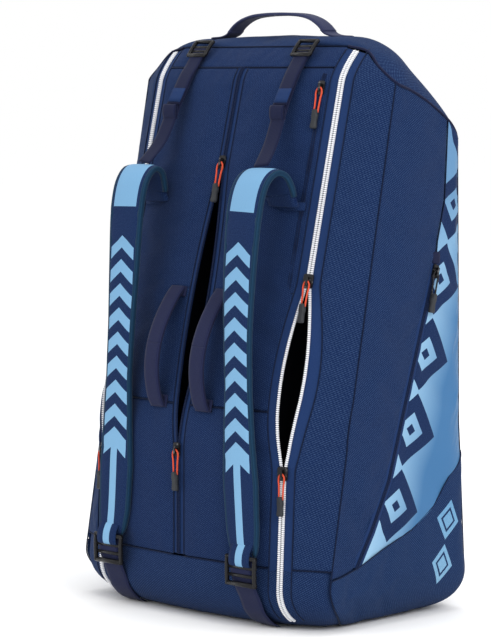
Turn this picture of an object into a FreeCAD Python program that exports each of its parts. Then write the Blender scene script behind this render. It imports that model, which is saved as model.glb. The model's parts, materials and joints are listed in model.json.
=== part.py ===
"""Tournament racket bag that stands on its end: three racket compartments, two side pockets, backpack straps.

Millimetres. The origin is the middle of the flat underside, +Z is up along the bag, -Y is the strap face
and +X is the right-hand side seen from the straps.
"""

import FreeCAD, Part
import os
from math import cos, hypot, pi, radians, sin, sqrt

Vec = FreeCAD.Vector
FAR = 400.0  # past every face of the bag, for cutting prisms

# ---- the shell ----
BAG_HEIGHT = 757.0
HALF_WIDTH = 230.0
SKIN = 4.0  # padded fabric wall
SPINE_Y = -154.0  # strap face below its bend
BEND_Z = 262.0
BEND_HALF = 30.0  # the bend is spread this far above and below BEND_Z
SPINE_TOP_Z = 745.0
SPINE_TOP_Y = -32.0
LEAN = (SPINE_TOP_Y - SPINE_Y) / (SPINE_TOP_Z - BEND_Z)
ROLL_START_Z = 700.0  # from here the strap face also curves back into the roof
ROLL_BACK = 24.0  # how far it has curved back at SPINE_TOP_Z
BASE_RADIUS = 55.0  # round edge all around the base
CROWN_LINE = ((0, 0), (84, 5), (130, 10.5), (152, 15))  # x, how far the strap face falls back
ZIP_BAND = (152, 184)  # the outer zips lie in a flat band between these, at their own slope
ZIP_BAND_SLOPE = 0.344
SIDE_FALL = 58.0  # how far the side seams fall back from the middle
FULLNESS = ((0, 0.7), (55, 0.75), (232, 1.3), (292, 1.36), (745, 0.9), (757, 0.9))  # z, scale of the fall
BACK_CORNER = 28.0
BACK_SEAM = 10.0  # the side panels reach round the back corners to this far before the back
BACK_LINE = ((0, 172), (250, 156), (631, 150), (650, 146), (680, 128),
             (710, 105), (735, 84), (750, 66), (757, 56))
WIDTH_LINE = ((0, 230), (690, 230), (705, 219), (722, 201), (738, 182), (748, 166), (757, 140))
BASE_SECTIONS = (0, 3, 9, 20, 36, 55)
BODY_SECTIONS = (232, 242, 252, 262, 272, 282, 292, 631)
ROOF_SECTIONS = (650, 680, 690, 705, 722, 738, 748, 757)
SECTIONS = BASE_SECTIONS + BODY_SECTIONS + ROOF_SECTIONS

# ---- seams, as heights or as (y, z) lines on the sides ----
BASE_SEAM_Z = 82.0
YOKE_SEAM_Z = 718.0
ROOF_SEAM = ((-200, 745), (20, 745), (12, 698), (38, 689), (72, 674), (113, 650), (140, 628), (FAR, 612))
GUARD_SEAM = ((-118, 62), (-69, 52), (-16, 71), (42, 103), (91, 137), (150, 200), (FAR, 200))
GUARD_X = 205.0
POCKET_ZIP = ((90, 465), (1, 188), (-31, 127), (-66, 72))
POCKET_SEAM = ((113, 652), (108, 545), (92, 490))
DIVIDER_X = 82.0
BOARD = 3.0  # dividers, linings and the base board
LINING_X = 208.0

# ---- zips ----
ZIP_X = 168.0
OUTER_SLOT = 15.0  # half width of the band that an outer zip fills
CENTRE_SLOT = 10.0
SMALL_SLOT = 8.0
ACCESSORY_X = 142.5
ACCESSORY_TOP = YOKE_SEAM_Z - 6
ACCESSORY_BOTTOM = 434.0
ACCESSORY_REST = ACCESSORY_TOP - 21  # where its slider stands
OUTER_CHAIN = 6.0  # half widths of the chains
COIL_CHAIN = 3.5
SLIT = 0.6  # half of the gap between the two rows of teeth
TAPE = 1.2
TAPE_DEPTH = 0.8  # the tapes lie this far below the skin
TEETH_OUT = 1.2  # the teeth stand this far above the skin
TEETH_IN = 2.4
EDGE_GAP = 0.3  # between a tape and the panels beside it
MOUTH = 13.0  # each lip of an open stretch stands this far from the zip's line
MOUTH_PARTS = 4  # short strips that each lip of an open stretch is made of
OUTER_ENDS = (14.0, 743.0)
OUTER_MOUTH = (208.0, 442.0)
CENTRE_ENDS = (BASE_SEAM_Z + 4, YOKE_SEAM_Z - 3)
CENTRE_MOUTH = (228.0, 589.0)

# ---- straps and handles ----
PAD_THICK = 13.0
PAD_LINE = (  # x, y of the pad's middle, z, width
    (125, -157, 97, 44), (121, -156, 130, 54), (117, -156, 190, 58), (114, -156, 250, 50),
    (112, -155, 310, 44), (109, -153, 380, 46), (108, -149, 450, 52), (109, -143, 520, 57),
    (110, -136, 556, 58), (111, -126, 575, 58), (113, -112, 584, 58), (115, -98, 579, 58),
    (118, -91, 565, 57), (119, -88, 553, 56))
PAD_ROOT = Vec(120, -80, 545)
WEBBING = 2.0
LIFTER_WIDTH = 25.0
LIFTER_LINE = ((97, -24, 728), (98, -40, 706), (99.5, -62, 668), (103, -84, 620))
TAIL_LINE = ((97, -28, 728), (98, -44, 706), (99, -66.5, 669))
TAIL_ROLL = Vec(99.9, -70.8, 660)  # middle of the tail's rolled end
LIFTER_BUCKLE = Vec(97, -17, 743)
BELT_WIDTH = 38.0
BELT_X = 126.0
BELT_START = (125, -154, 50)
BELT_GAP = 1.7  # from the base to the middle of the webbing
CARRY_X = 42.0
CARRY_Z = (276.0, 430.0)
CARRY_BOW = 27.0
CARRY_LIFT = 9.0  # the moving part of a carry handle starts this far off the bag
CARRY_GAP = 1.2  # between its moving part and its sewn feet
CARRY_WIDTH = 28.0
HANDLE_THICK = 6.0
HANDLE_X = 92.0
HANDLE_Y = 38.0
HANDLE_WIDTH = 28.0
HANDLE_RISE = 32.0
HANDLE_PIVOT = 8.0  # height of the swing axis above the roof
HANDLE_FOOT = 18.0  # where the moving band starts, above the roof

parts = {}


def along(line, z):
    """Value at z on a line given as (z, value) points."""
    for (z0, v0), (z1, v1) in zip(line, line[1:]):
        if z <= z1:
            return v0 + (v1 - v0) * (z - z0) / (z1 - z0)
    return line[-1][1]


def spine_y(z):
    """y of the strap face at its middle: upright, then leaning back above the bend."""
    if z <= BEND_Z - BEND_HALF:
        return SPINE_Y
    if z < BEND_Z + BEND_HALF:
        return SPINE_Y + LEAN * (z - BEND_Z + BEND_HALF) ** 2 / (4 * BEND_HALF)
    if z <= ROLL_START_Z:
        return SPINE_Y + LEAN * (z - BEND_Z)
    if z <= SPINE_TOP_Z:
        roll = (z - ROLL_START_Z) / (SPINE_TOP_Z - ROLL_START_Z)
        return SPINE_Y + LEAN * (z - BEND_Z) + ROLL_BACK * roll**1.6
    return SPINE_TOP_Y + ROLL_BACK + 1.5 * (z - SPINE_TOP_Z)


def base_inset(z):
    """How far the wall stands in at height z because of the round base edge."""
    if z >= BASE_RADIUS:
        return 0.0
    return BASE_RADIUS - sqrt(BASE_RADIUS**2 - (BASE_RADIUS - max(z, 0)) ** 2)


def crown(x, z):
    """How far the strap face lies behind its middle at x."""
    x = abs(x)
    full = along(FULLNESS, z)
    start, end = ZIP_BAND
    fall = along(CROWN_LINE, x) * full
    fall += ZIP_BAND_SLOPE * min(max(x - start, 0), end - start)
    band_edge = CROWN_LINE[-1][1] * full + ZIP_BAND_SLOPE * (end - start)
    return fall + (SIDE_FALL * full - band_edge) * max(x - end, 0) / (HALF_WIDTH - end)


def front_y(x, z):
    """y of the outer skin of the strap face."""
    inset = base_inset(z)
    return spine_y(z) + crown(x / (1 - inset / HALF_WIDTH), z) + inset


def face_run(x, z):
    """Upward direction in the strap face at x."""
    return Vec(0, (front_y(x, z + 1) - front_y(x, z - 1)) / 2, 1)


def face_normal(x, z):
    """Outward normal of the strap face."""
    across = Vec(2, front_y(x + 1, z) - front_y(x - 1, z), 0)
    return across.cross(face_run(x, z)).normalize()


def section(level, z, depth):
    """Outline of the bag's wall at a level, moved in by depth and drawn at height z."""
    inset = base_inset(level) + depth
    half_width = along(WIDTH_LINE, level)
    front = spine_y(z if depth else level) + inset
    back = along(BACK_LINE, level) - inset
    edge = min(ZIP_BAND[1], half_width - 4)
    stations = [x for x, _ in CROWN_LINE[:-1]]
    stations += [min(ZIP_BAND[0], edge - 4), edge, (edge + half_width) / 2, half_width]
    half = [(x, front + crown(x, level)) for x in stations]
    half += [
        (half_width, back - BACK_CORNER),
        (half_width - 8, back - 8),
        (half_width - BACK_CORNER, back),
        (0, back),
    ]
    squeeze = 1 - inset / HALF_WIDTH
    right = [Vec(x * squeeze, y, z) for x, y in half]
    left = [Vec(-p.x, p.y, z) for p in right[-2:0:-1]]
    ring = right + left
    return Part.makePolygon(ring + [ring[0]])


def hull_solid(depth):
    """The bag's outside as a solid, or its inside with depth = SKIN."""
    rings = []
    shoulder = BODY_SECTIONS[-1]
    for level in SECTIONS:
        z = level
        if level < BASE_RADIUS:
            z += depth * (1 - level / BASE_RADIUS)
        if level > shoulder:
            z -= depth * (level - shoulder) / (BAG_HEIGHT - shoulder)
        rings.append(section(level, z, depth))
    return Part.makeLoft(rings, True, True)


def yz_prism(points, x0=-FAR, x1=FAR):
    """Prism across the bag from a (y, z) outline."""
    ring = [Vec(x0, y, z) for y, z in points]
    return Part.Face(Part.makePolygon(ring + [ring[0]])).extrude(Vec(x1 - x0, 0, 0))


def xz_prism(points, y0=-FAR, y1=FAR):
    """Prism from front to back from an (x, z) outline."""
    ring = [Vec(x, y0, z) for x, z in points]
    return Part.Face(Part.makePolygon(ring + [ring[0]])).extrude(Vec(0, y1 - y0, 0))


def block(x0, x1, y0, y1, z0, z1):
    return Part.makeBox(x1 - x0, y1 - y0, z1 - z0, Vec(x0, y0, z0))


def rect_loft(rects):
    """Solid through four-point rectangles."""
    return Part.makeLoft([Part.makePolygon(r + [r[0]]) for r in rects], True, True)


def mirrored(shape):
    return shape.mirror(Vec(0, 0, 0), Vec(1, 0, 0))


def heights_between(z0, z1, fixed):
    """z0, z1 and the fixed heights between them."""
    return [z0] + [z for z in fixed if z0 + 0.5 < z < z1 - 0.5] + [z1]


# ---- zips ----
def mouth_gap(z, mouth):
    """How far each lip stands from the zip's line at height z."""
    if mouth is None or not mouth[0] < z < mouth[1]:
        return 0.0
    return MOUTH * sin(pi * (z - mouth[0]) / (mouth[1] - mouth[0]))


def zip_heights(z0, z1, mouth):
    """Stations along an upright zip: the bag's own sections, and even steps over the open stretch."""
    fixed = set(SECTIONS)
    if mouth:
        steps = 12
        fixed |= {mouth[0] + (mouth[1] - mouth[0]) * i / steps for i in range(steps + 1)}
    fixed = sorted(fixed)
    clear = [z for i, z in enumerate(fixed) if i == 0 or z - fixed[i - 1] > 1.5]
    return heights_between(z0, z1, clear)


def slot_prism(x, half, z0, z1, mouth):
    """What the zip's band takes out of the panels."""
    stations = zip_heights(z0, z1, mouth)
    right = [(x + half + mouth_gap(z, mouth), z) for z in stations]
    left = [(x - half - mouth_gap(z, mouth), z) for z in reversed(stations)]
    return xz_prism(right + left, -FAR, 40)


def zip_strip(x, side, near, far, out, inside, z0, z1, mouth, square=0.0):
    """One upright strip of a zip half, from near to far of the zip's line, following the skin.

    With square = 1 its near face stands square to the skin, else it runs straight back.
    """
    rects = []
    for z in zip_heights(z0, z1, mouth):
        gap = mouth_gap(z, mouth)
        a = x + side * (near + gap)
        b = x + side * (far + gap)
        ya = front_y(a, z)
        yb = front_y(b, z)
        tilt = square * (front_y(x + 1, z) - front_y(x - 1, z)) / 2
        outer = [Vec(a - tilt * out, ya + out, z), Vec(b, yb + out, z)]
        rects.append(outer + [Vec(b, yb + inside, z), Vec(a - tilt * inside, ya + inside, z)])
    return rect_loft(rects)


def upright_zip(x, slot, chain, z0, z1, mouth):
    """Both tapes and both rows of teeth, each a run of short strips that meet end to end."""
    ends = [z0, z1]
    if mouth:
        run = (mouth[1] - mouth[0]) / MOUTH_PARTS
        ends[1:1] = [mouth[0] + run * i for i in range(MOUTH_PARTS + 1)]
    solids = []
    for side in (-1, 1):
        tape = (TAPE_DEPTH, TAPE_DEPTH + TAPE)
        for a, b in zip(ends, ends[1:]):
            solids.append(zip_strip(x, side, chain, slot - EDGE_GAP, *tape, a, b, mouth))
            solids.append(zip_strip(x, side, SLIT, chain, -TEETH_OUT, TEETH_IN, a, b, mouth, 1.0))
    return Part.makeCompound(solids)


def offset_line(points, distance):
    """A (y, z) line moved sideways by distance, mitred at its points."""
    moved = []
    for i, (y, z) in enumerate(points):
        normals = []
        for a, b in ((i - 1, i), (i, i + 1)):
            if 0 <= a and b < len(points):
                dy = points[b][0] - points[a][0]
                dz = points[b][1] - points[a][1]
                normals.append((-dz / hypot(dy, dz), dy / hypot(dy, dz)))
        ny = sum(n[0] for n in normals) / len(normals)
        nz = sum(n[1] for n in normals) / len(normals)
        scale = distance / (ny * ny + nz * nz)
        moved.append((y + ny * scale, z + nz * scale))
    return moved


def side_strip(near, far, x_out, x_in):
    """A strip of the pocket zip on the right side, between two offsets from its line."""
    a = offset_line(POCKET_ZIP, near)
    b = offset_line(POCKET_ZIP, far)
    ring = a + b[::-1]
    return yz_prism(ring, x_in, x_out)


def pocket_zip():
    solids = []
    for side in (-1, 1):
        tape = (HALF_WIDTH - TAPE_DEPTH, HALF_WIDTH - TAPE_DEPTH - TAPE)
        solids.append(side_strip(side * COIL_CHAIN, side * (SMALL_SLOT - EDGE_GAP), *tape))
        teeth = (HALF_WIDTH + TEETH_OUT, HALF_WIDTH - TEETH_IN)
        solids.append(side_strip(side * SLIT, side * COIL_CHAIN, *teeth))
    return Part.makeCompound(solids)


# ---- sliders and pulls ----
def placed(shape, origin, run, out):
    """Moves a shape from its own frame (x across, y along run, z out) to the bag."""
    run = Vec(run).normalize()
    out = Vec(out).normalize()
    across = run.cross(out)
    m = FreeCAD.Matrix(
        across.x, run.x, out.x, origin.x,
        across.y, run.y, out.y, origin.y,
        across.z, run.z, out.z, origin.z,
        0, 0, 0, 1)
    return shape.transformGeometry(m)


PIN_OUT = 5.4  # height of the pull's pin above the skin


def slider(half):
    """Upper and lower plate joined by a web that runs in the slit, with a bail for the pull."""
    top = block(-half, half, -9, 9, 1.6, 3.4)
    top = top.makeFillet(2.5, [e for e in top.Edges if abs(e.tangentAt(e.FirstParameter).z) > 0.9])
    low = block(-half + 1, half - 1, -8, 8, -4.6, -2.9)
    web = block(-0.35, 0.35, -7, 7, -2.9, 1.6)
    bail = block(-1.6, 1.6, -5, 5, 3.4, 8.0)
    hole = Part.makeCylinder(1.7, 6, Vec(-3, 0, PIN_OUT), Vec(1, 0, 0))
    return top.fuse([low, web, bail]).cut(hole).removeSplitter()


def pull():
    """Cord loop through the bail, and the moulded tab it ends in; it hangs towards -y of its own frame."""
    r = 0.9
    w = 3.4
    length = 34.0
    top = Part.makeTorus(w, r, Vec(0, -w, PIN_OUT), Vec(0, 0, 1), 0, 360)
    top = top.common(block(-9, 9, -w, 9, 0, 12))
    legs = [Part.makeCylinder(r, length - w, Vec(s * w, -w, PIN_OUT), Vec(0, -1, 0)) for s in (-1, 1)]
    loop = top.fuse(legs)
    tab = block(-6, 6, -length - 21, -length, PIN_OUT - 2.6, PIN_OUT + 2.6)
    tab = tab.makeFillet(1.6, tab.Edges)
    return Part.makeCompound([loop.cut(tab), tab])


POCKET_RUN = Vec(0, POCKET_ZIP[0][0] - POCKET_ZIP[1][0], POCKET_ZIP[0][1] - POCKET_ZIP[1][1])


def zip_point(x, z):
    return Vec(x, front_y(x, z), z)


def add_slider(name, origin, run, out, half):
    parts[name + "_slider"] = placed(slider(half), origin, run, out)
    parts[name + "_pull"] = placed(pull(), origin, run, out)


def add_face_slider(name, x, z, half):
    add_slider(name, zip_point(x, z), face_run(x, z), face_normal(x, z), half)


def add_sliders():
    for name, x in (("left_zip", -ZIP_X), ("right_zip", ZIP_X)):
        add_face_slider(name + "_upper", x, OUTER_MOUTH[1] + 4, OUTER_CHAIN + 1)
        add_face_slider(name + "_lower", x, OUTER_MOUTH[0] - 4, OUTER_CHAIN + 1)
    add_face_slider("centre_zip_upper", 0, CENTRE_MOUTH[1] + 4, COIL_CHAIN + 2)
    add_face_slider("centre_zip_lower", 0, CENTRE_MOUTH[0] - 6, COIL_CHAIN + 2)
    add_face_slider("accessory_zip", ACCESSORY_X, ACCESSORY_REST, COIL_CHAIN + 1.5)
    top = Vec(HALF_WIDTH, POCKET_ZIP[0][0], POCKET_ZIP[0][1])
    start = top - Vec(POCKET_RUN).normalize() * 12
    add_slider("right_pocket", start, POCKET_RUN, Vec(1, 0, 0), COIL_CHAIN + 1.5)
    for kind in ("_slider", "_pull"):
        parts["left_pocket" + kind] = mirrored(parts["right_pocket" + kind])


# ---- panels ----
def roof_zone(gap):
    """Everything above the roof seam, and gap more."""
    seam = [(y, z - gap) for y, z in ROOF_SEAM]
    return yz_prism(seam + [(FAR, 900), (-200, 900)])


def add_shell():
    skin = hull_solid(0).cut(hull_solid(SKIN))
    roof = roof_zone(0)
    base = block(-FAR, FAR, -FAR, FAR, -10, BASE_SEAM_Z)
    seam_heights = (0, BASE_RADIUS) + BODY_SECTIONS[:-1] + (ROLL_START_Z,)
    seam_line = [(spine_y(z) + SIDE_FALL * along(FULLNESS, z), z) for z in seam_heights]
    seam_line.insert(0, (seam_line[0][0], -10))
    strap_zone = yz_prism(seam_line + [(60, 900), (-FAR, 900), (-FAR, -10)])
    back_line = [(along(BACK_LINE, z) - BACK_SEAM, z) for z in (0, 250, 631)]
    top_end = (back_line[-1][0], 900)
    low_end = (back_line[0][0], -10)
    back_zone = yz_prism(back_line + [top_end, (FAR, 900), (FAR, -10), low_end])
    guard = yz_prism(list(GUARD_SEAM) + [(FAR, -20), (-118, -20)])
    guard_right = guard.common(block(GUARD_X, FAR, -FAR, FAR, -20, 300)).cut(back_zone).cut(strap_zone)
    guard_left = mirrored(guard_right)

    full_slots = [slot_prism(x, OUTER_SLOT, *OUTER_ENDS, OUTER_MOUTH) for x in (-ZIP_X, ZIP_X)]
    outer_slots = [slot.common(strap_zone) for slot in full_slots]
    pocket_slot = side_strip(-SMALL_SLOT, SMALL_SLOT, FAR, GUARD_X)
    pocket_slots = [pocket_slot, mirrored(pocket_slot)]
    inner_slots = [
        slot_prism(0, CENTRE_SLOT, *CENTRE_ENDS, CENTRE_MOUTH),
        slot_prism(ACCESSORY_X, SMALL_SLOT, ACCESSORY_BOTTOM, ACCESSORY_TOP, None),
    ]

    parts["roof_panel"] = skin.common(roof)
    parts["base_panel"] = skin.common(base).cut(full_slots + pocket_slots + [guard_right, guard_left])
    strap_face = skin.common(strap_zone).cut([roof, base] + outer_slots + inner_slots)
    outer = ZIP_X
    parts["strap_face_left"] = strap_face.common(block(-outer, 0, -FAR, FAR, 0, YOKE_SEAM_Z))
    parts["strap_face_right"] = strap_face.common(block(0, outer, -FAR, FAR, 0, YOKE_SEAM_Z))
    parts["top_yoke"] = strap_face.common(block(-outer, outer, -FAR, FAR, YOKE_SEAM_Z, 900))
    parts["gusset_right"] = strap_face.common(block(outer, FAR, -FAR, FAR, 0, 900))
    parts["gusset_left"] = strap_face.common(block(-FAR, -outer, -FAR, FAR, 0, 900))

    rest = skin.cut(strap_zone).cut(roof)
    parts["back_panel"] = rest.common(back_zone).cut(base)
    side = rest.cut(back_zone).common(block(GUARD_X, FAR, -FAR, FAR, -20, 900))
    parts["base_guard_right"] = skin.common(guard_right)
    side = side.cut(guard_right).cut(base)
    side = side.cut(pocket_slot)
    split = [(FAR, -20), (-66, -20), POCKET_ZIP[3], POCKET_ZIP[2], POCKET_ZIP[1], POCKET_ZIP[0]]
    split += [POCKET_SEAM[2], POCKET_SEAM[1], POCKET_SEAM[0], (113, 900), (FAR, 900)]
    pocket_zone = yz_prism(split)
    parts["side_pocket_right"] = side.common(pocket_zone)
    parts["side_panel_right"] = side.cut(pocket_zone)
    for name in ("base_guard", "side_pocket", "side_panel"):
        parts[name + "_left"] = mirrored(parts[name + "_right"])

    room = hull_solid(SKIN + 0.3)
    board_top = SKIN + 0.5 + BOARD
    board = block(-165, 165, -85, 105, SKIN + 0.5, board_top)
    board = board.makeFillet(20, [e for e in board.Edges if abs(e.tangentAt(0).z) > 0.9])
    parts["base_board"] = board.common(room)
    above = block(-FAR, FAR, -FAR, FAR, board_top + 0.3, 900)
    slab = block(DIVIDER_X - BOARD / 2, DIVIDER_X + BOARD / 2, -FAR, FAR, 0, 900)
    parts["divider_right"] = room.common(slab).common(above)
    lining_zone = pocket_zone.common(block(LINING_X, LINING_X + BOARD, -FAR, FAR, 60, 640))
    parts["pocket_lining_right"] = room.common(lining_zone).common(above)
    for name in ("divider", "pocket_lining"):
        parts[name + "_left"] = mirrored(parts[name + "_right"])


def within(ends):
    """A zip's ends, clear of the slot's."""
    return ends[0] + EDGE_GAP, ends[1] - EDGE_GAP


def add_zips():
    outer = upright_zip(ZIP_X, OUTER_SLOT, OUTER_CHAIN, *within(OUTER_ENDS), OUTER_MOUTH)
    parts["right_zip"] = outer.cut(roof_zone(EDGE_GAP))
    parts["left_zip"] = mirrored(parts["right_zip"])
    parts["centre_zip"] = upright_zip(0, CENTRE_SLOT, COIL_CHAIN, *within(CENTRE_ENDS), CENTRE_MOUTH)
    ends = within((ACCESSORY_BOTTOM, ACCESSORY_TOP))
    parts["accessory_zip"] = upright_zip(ACCESSORY_X, SMALL_SLOT, COIL_CHAIN, *ends, None)
    parts["right_pocket_zip"] = pocket_zip()
    parts["left_pocket_zip"] = mirrored(parts["right_pocket_zip"])


# ---- webbing, straps and handles ----
def band(line, width, thick):
    """A strip through (x, y, z[, width]) points, flat across X, its middle on the points."""
    rects = []
    for i, p in enumerate(line):
        a = line[max(i - 1, 0)]
        b = line[min(i + 1, len(line) - 1)]
        dy = b[1] - a[1]
        dz = b[2] - a[2]
        size = hypot(dy, dz)
        normal = Vec(0, -dz / size, dy / size) * (thick / 2)
        half = Vec((p[3] if len(p) > 3 else width) / 2, 0, 0)
        middle = Vec(*p[:3])
        near = [middle - half + normal, middle + half + normal]
        rects.append(near + [middle + half - normal, middle - half - normal])
    return rect_loft(rects)


def ladder_lock(width, height, thick):
    """Three-bar buckle: a rounded frame with two windows."""
    frame = block(-width / 2, width / 2, -height / 2, height / 2, -thick / 2, thick / 2)
    frame = frame.makeFillet(4, [e for e in frame.Edges if abs(e.tangentAt(0).z) > 0.9])
    frame = frame.makeFillet(1.2, [e for e in frame.Edges if abs(e.tangentAt(e.FirstParameter).z) < 0.1])
    bar = height / 9
    window = (height - 3 * bar) / 2
    cuts = [block(-width / 2 + 5, width / 2 - 5, y, y + window, -9, 9) for y in (-height / 2 + bar, bar / 2)]
    return frame.cut(Part.makeCompound(cuts))


def belt_line():
    """Middle of the lower webbing, from the buckle round the base edge."""
    line = [BELT_START]
    inner = BELT_X - BELT_WIDTH / 2
    for z in BASE_SECTIONS[-2:1:-1]:
        p = Vec(BELT_X, front_y(inner, z), z) + face_normal(inner, z) * BELT_GAP
        line.append((BELT_X, p.y, p.z))
    return line


def add_straps():
    parts["strap_pad_right"] = band(PAD_LINE, 0, PAD_THICK)
    root_skin = Vec(PAD_ROOT.x, front_y(PAD_ROOT.x, PAD_ROOT.z), PAD_ROOT.z)
    tab = block(-27, 27, -22, 22, 0.6, 2.8)
    up = face_run(PAD_ROOT.x, PAD_ROOT.z)
    out = face_normal(PAD_ROOT.x, PAD_ROOT.z)
    patch = placed(tab, root_skin + Vec(0, -3.2, -8), up, out)
    parts["strap_root_patches"] = Part.makeCompound([patch, mirrored(patch)])
    parts["lifter_webbing_right"] = band(LIFTER_LINE, LIFTER_WIDTH, WEBBING)
    tail = band(TAIL_LINE, LIFTER_WIDTH, WEBBING)
    roll = block(-14, 14, -11, 11, -3, 4)
    roll = roll.makeFillet(2.5, roll.Edges)
    roll_up = Vec(*LIFTER_LINE[2]) - Vec(*LIFTER_LINE[3])
    roll = placed(roll, TAIL_ROLL, roll_up, Vec(0, -roll_up.z, roll_up.y))
    tail = tail.cut(roll)
    parts["lifter_tails"] = Part.makeCompound([tail, roll, mirrored(tail), mirrored(roll)])
    lock = placed(ladder_lock(36, 24, 5), LIFTER_BUCKLE, Vec(0, 0.55, 1), Vec(0, -1, 0.55))
    parts["lifter_buckles"] = Part.makeCompound([lock, mirrored(lock)])
    buckle = placed(ladder_lock(54, 38, 7), Vec(125, -163.5, 78), Vec(0, 0, 1), Vec(0, -1, 0))
    parts["lower_buckle_right"] = buckle.cut(parts["strap_pad_right"])
    parts["lower_webbing_right"] = band(belt_line(), BELT_WIDTH, WEBBING)
    for name in ("strap_pad", "lifter_webbing", "lower_buckle", "lower_webbing"):
        parts[name + "_left"] = mirrored(parts[name + "_right"])


def carry_line(share):
    """Middle of a carry handle at a share of its length."""
    z = CARRY_Z[0] + (CARRY_Z[1] - CARRY_Z[0]) * share
    lift = HANDLE_THICK / 2 + 0.6 + CARRY_BOW * sin(pi * share) ** 0.8
    return (CARRY_X, front_y(CARRY_X, z) - lift, z)


def carry_slab(near, far):
    """The room between two planes square to the carry handles' swing axis, as shares of its length."""
    low = carry_line(0)
    high = carry_line(1)
    run = (high[1] - low[1], high[2] - low[2])
    reach = 1.0  # how far the planes reach either side of the axis, in lengths of it
    ring = []
    for share, side in ((near, -reach), (near, reach), (far, reach), (far, -reach)):
        y = low[1] + run[0] * share - run[1] * side
        z = low[2] + run[1] * share + run[0] * side
        ring.append((y, z))
    return yz_prism(ring)


def add_handles():
    steps = 24
    line = [carry_line(i / steps) for i in range(steps + 1)]
    lifts = [front_y(CARRY_X, z) - y for _, y, z in line]
    start = next(i for i in range(steps) if lifts[i] > CARRY_LIFT + HANDLE_THICK) / steps
    handle = band(line, CARRY_WIDTH, HANDLE_THICK)
    parts["carry_handle_right"] = handle.common(carry_slab(start, 1 - start))
    parts["carry_handle_left"] = mirrored(parts["carry_handle_right"])
    foot_end = start - CARRY_GAP / (CARRY_Z[1] - CARRY_Z[0])
    skin_room = hull_solid(0)
    feet = [handle.common(carry_slab(*ends)).cut(skin_room) for ends in ((-1, foot_end), (1 - foot_end, 2))]
    parts["carry_handle_anchors"] = Part.makeCompound(feet + [mirrored(f) for f in feet])

    arch = []
    for i in range(21):
        angle = pi * i / 20
        x = -HANDLE_X * cos(angle)
        z = BAG_HEIGHT + HANDLE_FOOT + (HANDLE_RISE - HANDLE_FOOT) * sin(angle) ** 0.75
        arch.append((x, z))
    rects = []
    for i, (x, z) in enumerate(arch):
        a = arch[max(i - 1, 0)]
        b = arch[min(i + 1, len(arch) - 1)]
        dx = b[0] - a[0]
        dz = b[1] - a[1]
        normal = Vec(-dz, 0, dx) * (HANDLE_THICK / 2 / hypot(dx, dz))
        wide = Vec(0, HANDLE_WIDTH / 2, 0)
        middle = Vec(x, HANDLE_Y, z)
        under = [middle - wide - normal, middle + wide - normal]
        rects.append(under + [middle + wide + normal, middle - wide + normal])
    parts["top_handle"] = rect_loft(rects)
    y0 = HANDLE_Y - HANDLE_WIDTH / 2 + 1
    y1 = HANDLE_Y + HANDLE_WIDTH / 2 - 1
    sole = BAG_HEIGHT + 2.4
    foot = block(HANDLE_X - 5, HANDLE_X + 34, y0, y1, BAG_HEIGHT + 0.2, sole)
    post = block(HANDLE_X - 3, HANDLE_X + 3, y0, y1, sole, BAG_HEIGHT + HANDLE_PIVOT)
    anchor = foot.fuse(post).removeSplitter()
    parts["top_handle_anchors"] = Part.makeCompound([anchor, mirrored(anchor)])


def export():
    os.makedirs("parts", exist_ok=True)
    for name, shape in sorted(parts.items()):
        shape.exportStep("parts/" + name + ".step")
        solids = shape.Solids
        good = all(s.isValid() and s.Volume > 0 for s in solids)
        box = shape.optimalBoundingBox(False, False)
        print("%-28s %2d %s %9.0f  x %6.0f %6.0f y %6.0f %6.0f z %6.0f %6.0f" % (
            name, len(solids), "ok " if good else "BAD", shape.Volume,
            box.XMin, box.XMax, box.YMin, box.YMax, box.ZMin, box.ZMax))


add_shell()
add_zips()
add_sliders()
add_straps()
add_handles()
export()
print(len(parts), "nodes")
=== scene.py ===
"""Looks of the racket tournament bag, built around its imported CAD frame."""

import json
from bisect import bisect_right
from collections import Counter
from math import cos, pi, radians, sin, sqrt

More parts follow.
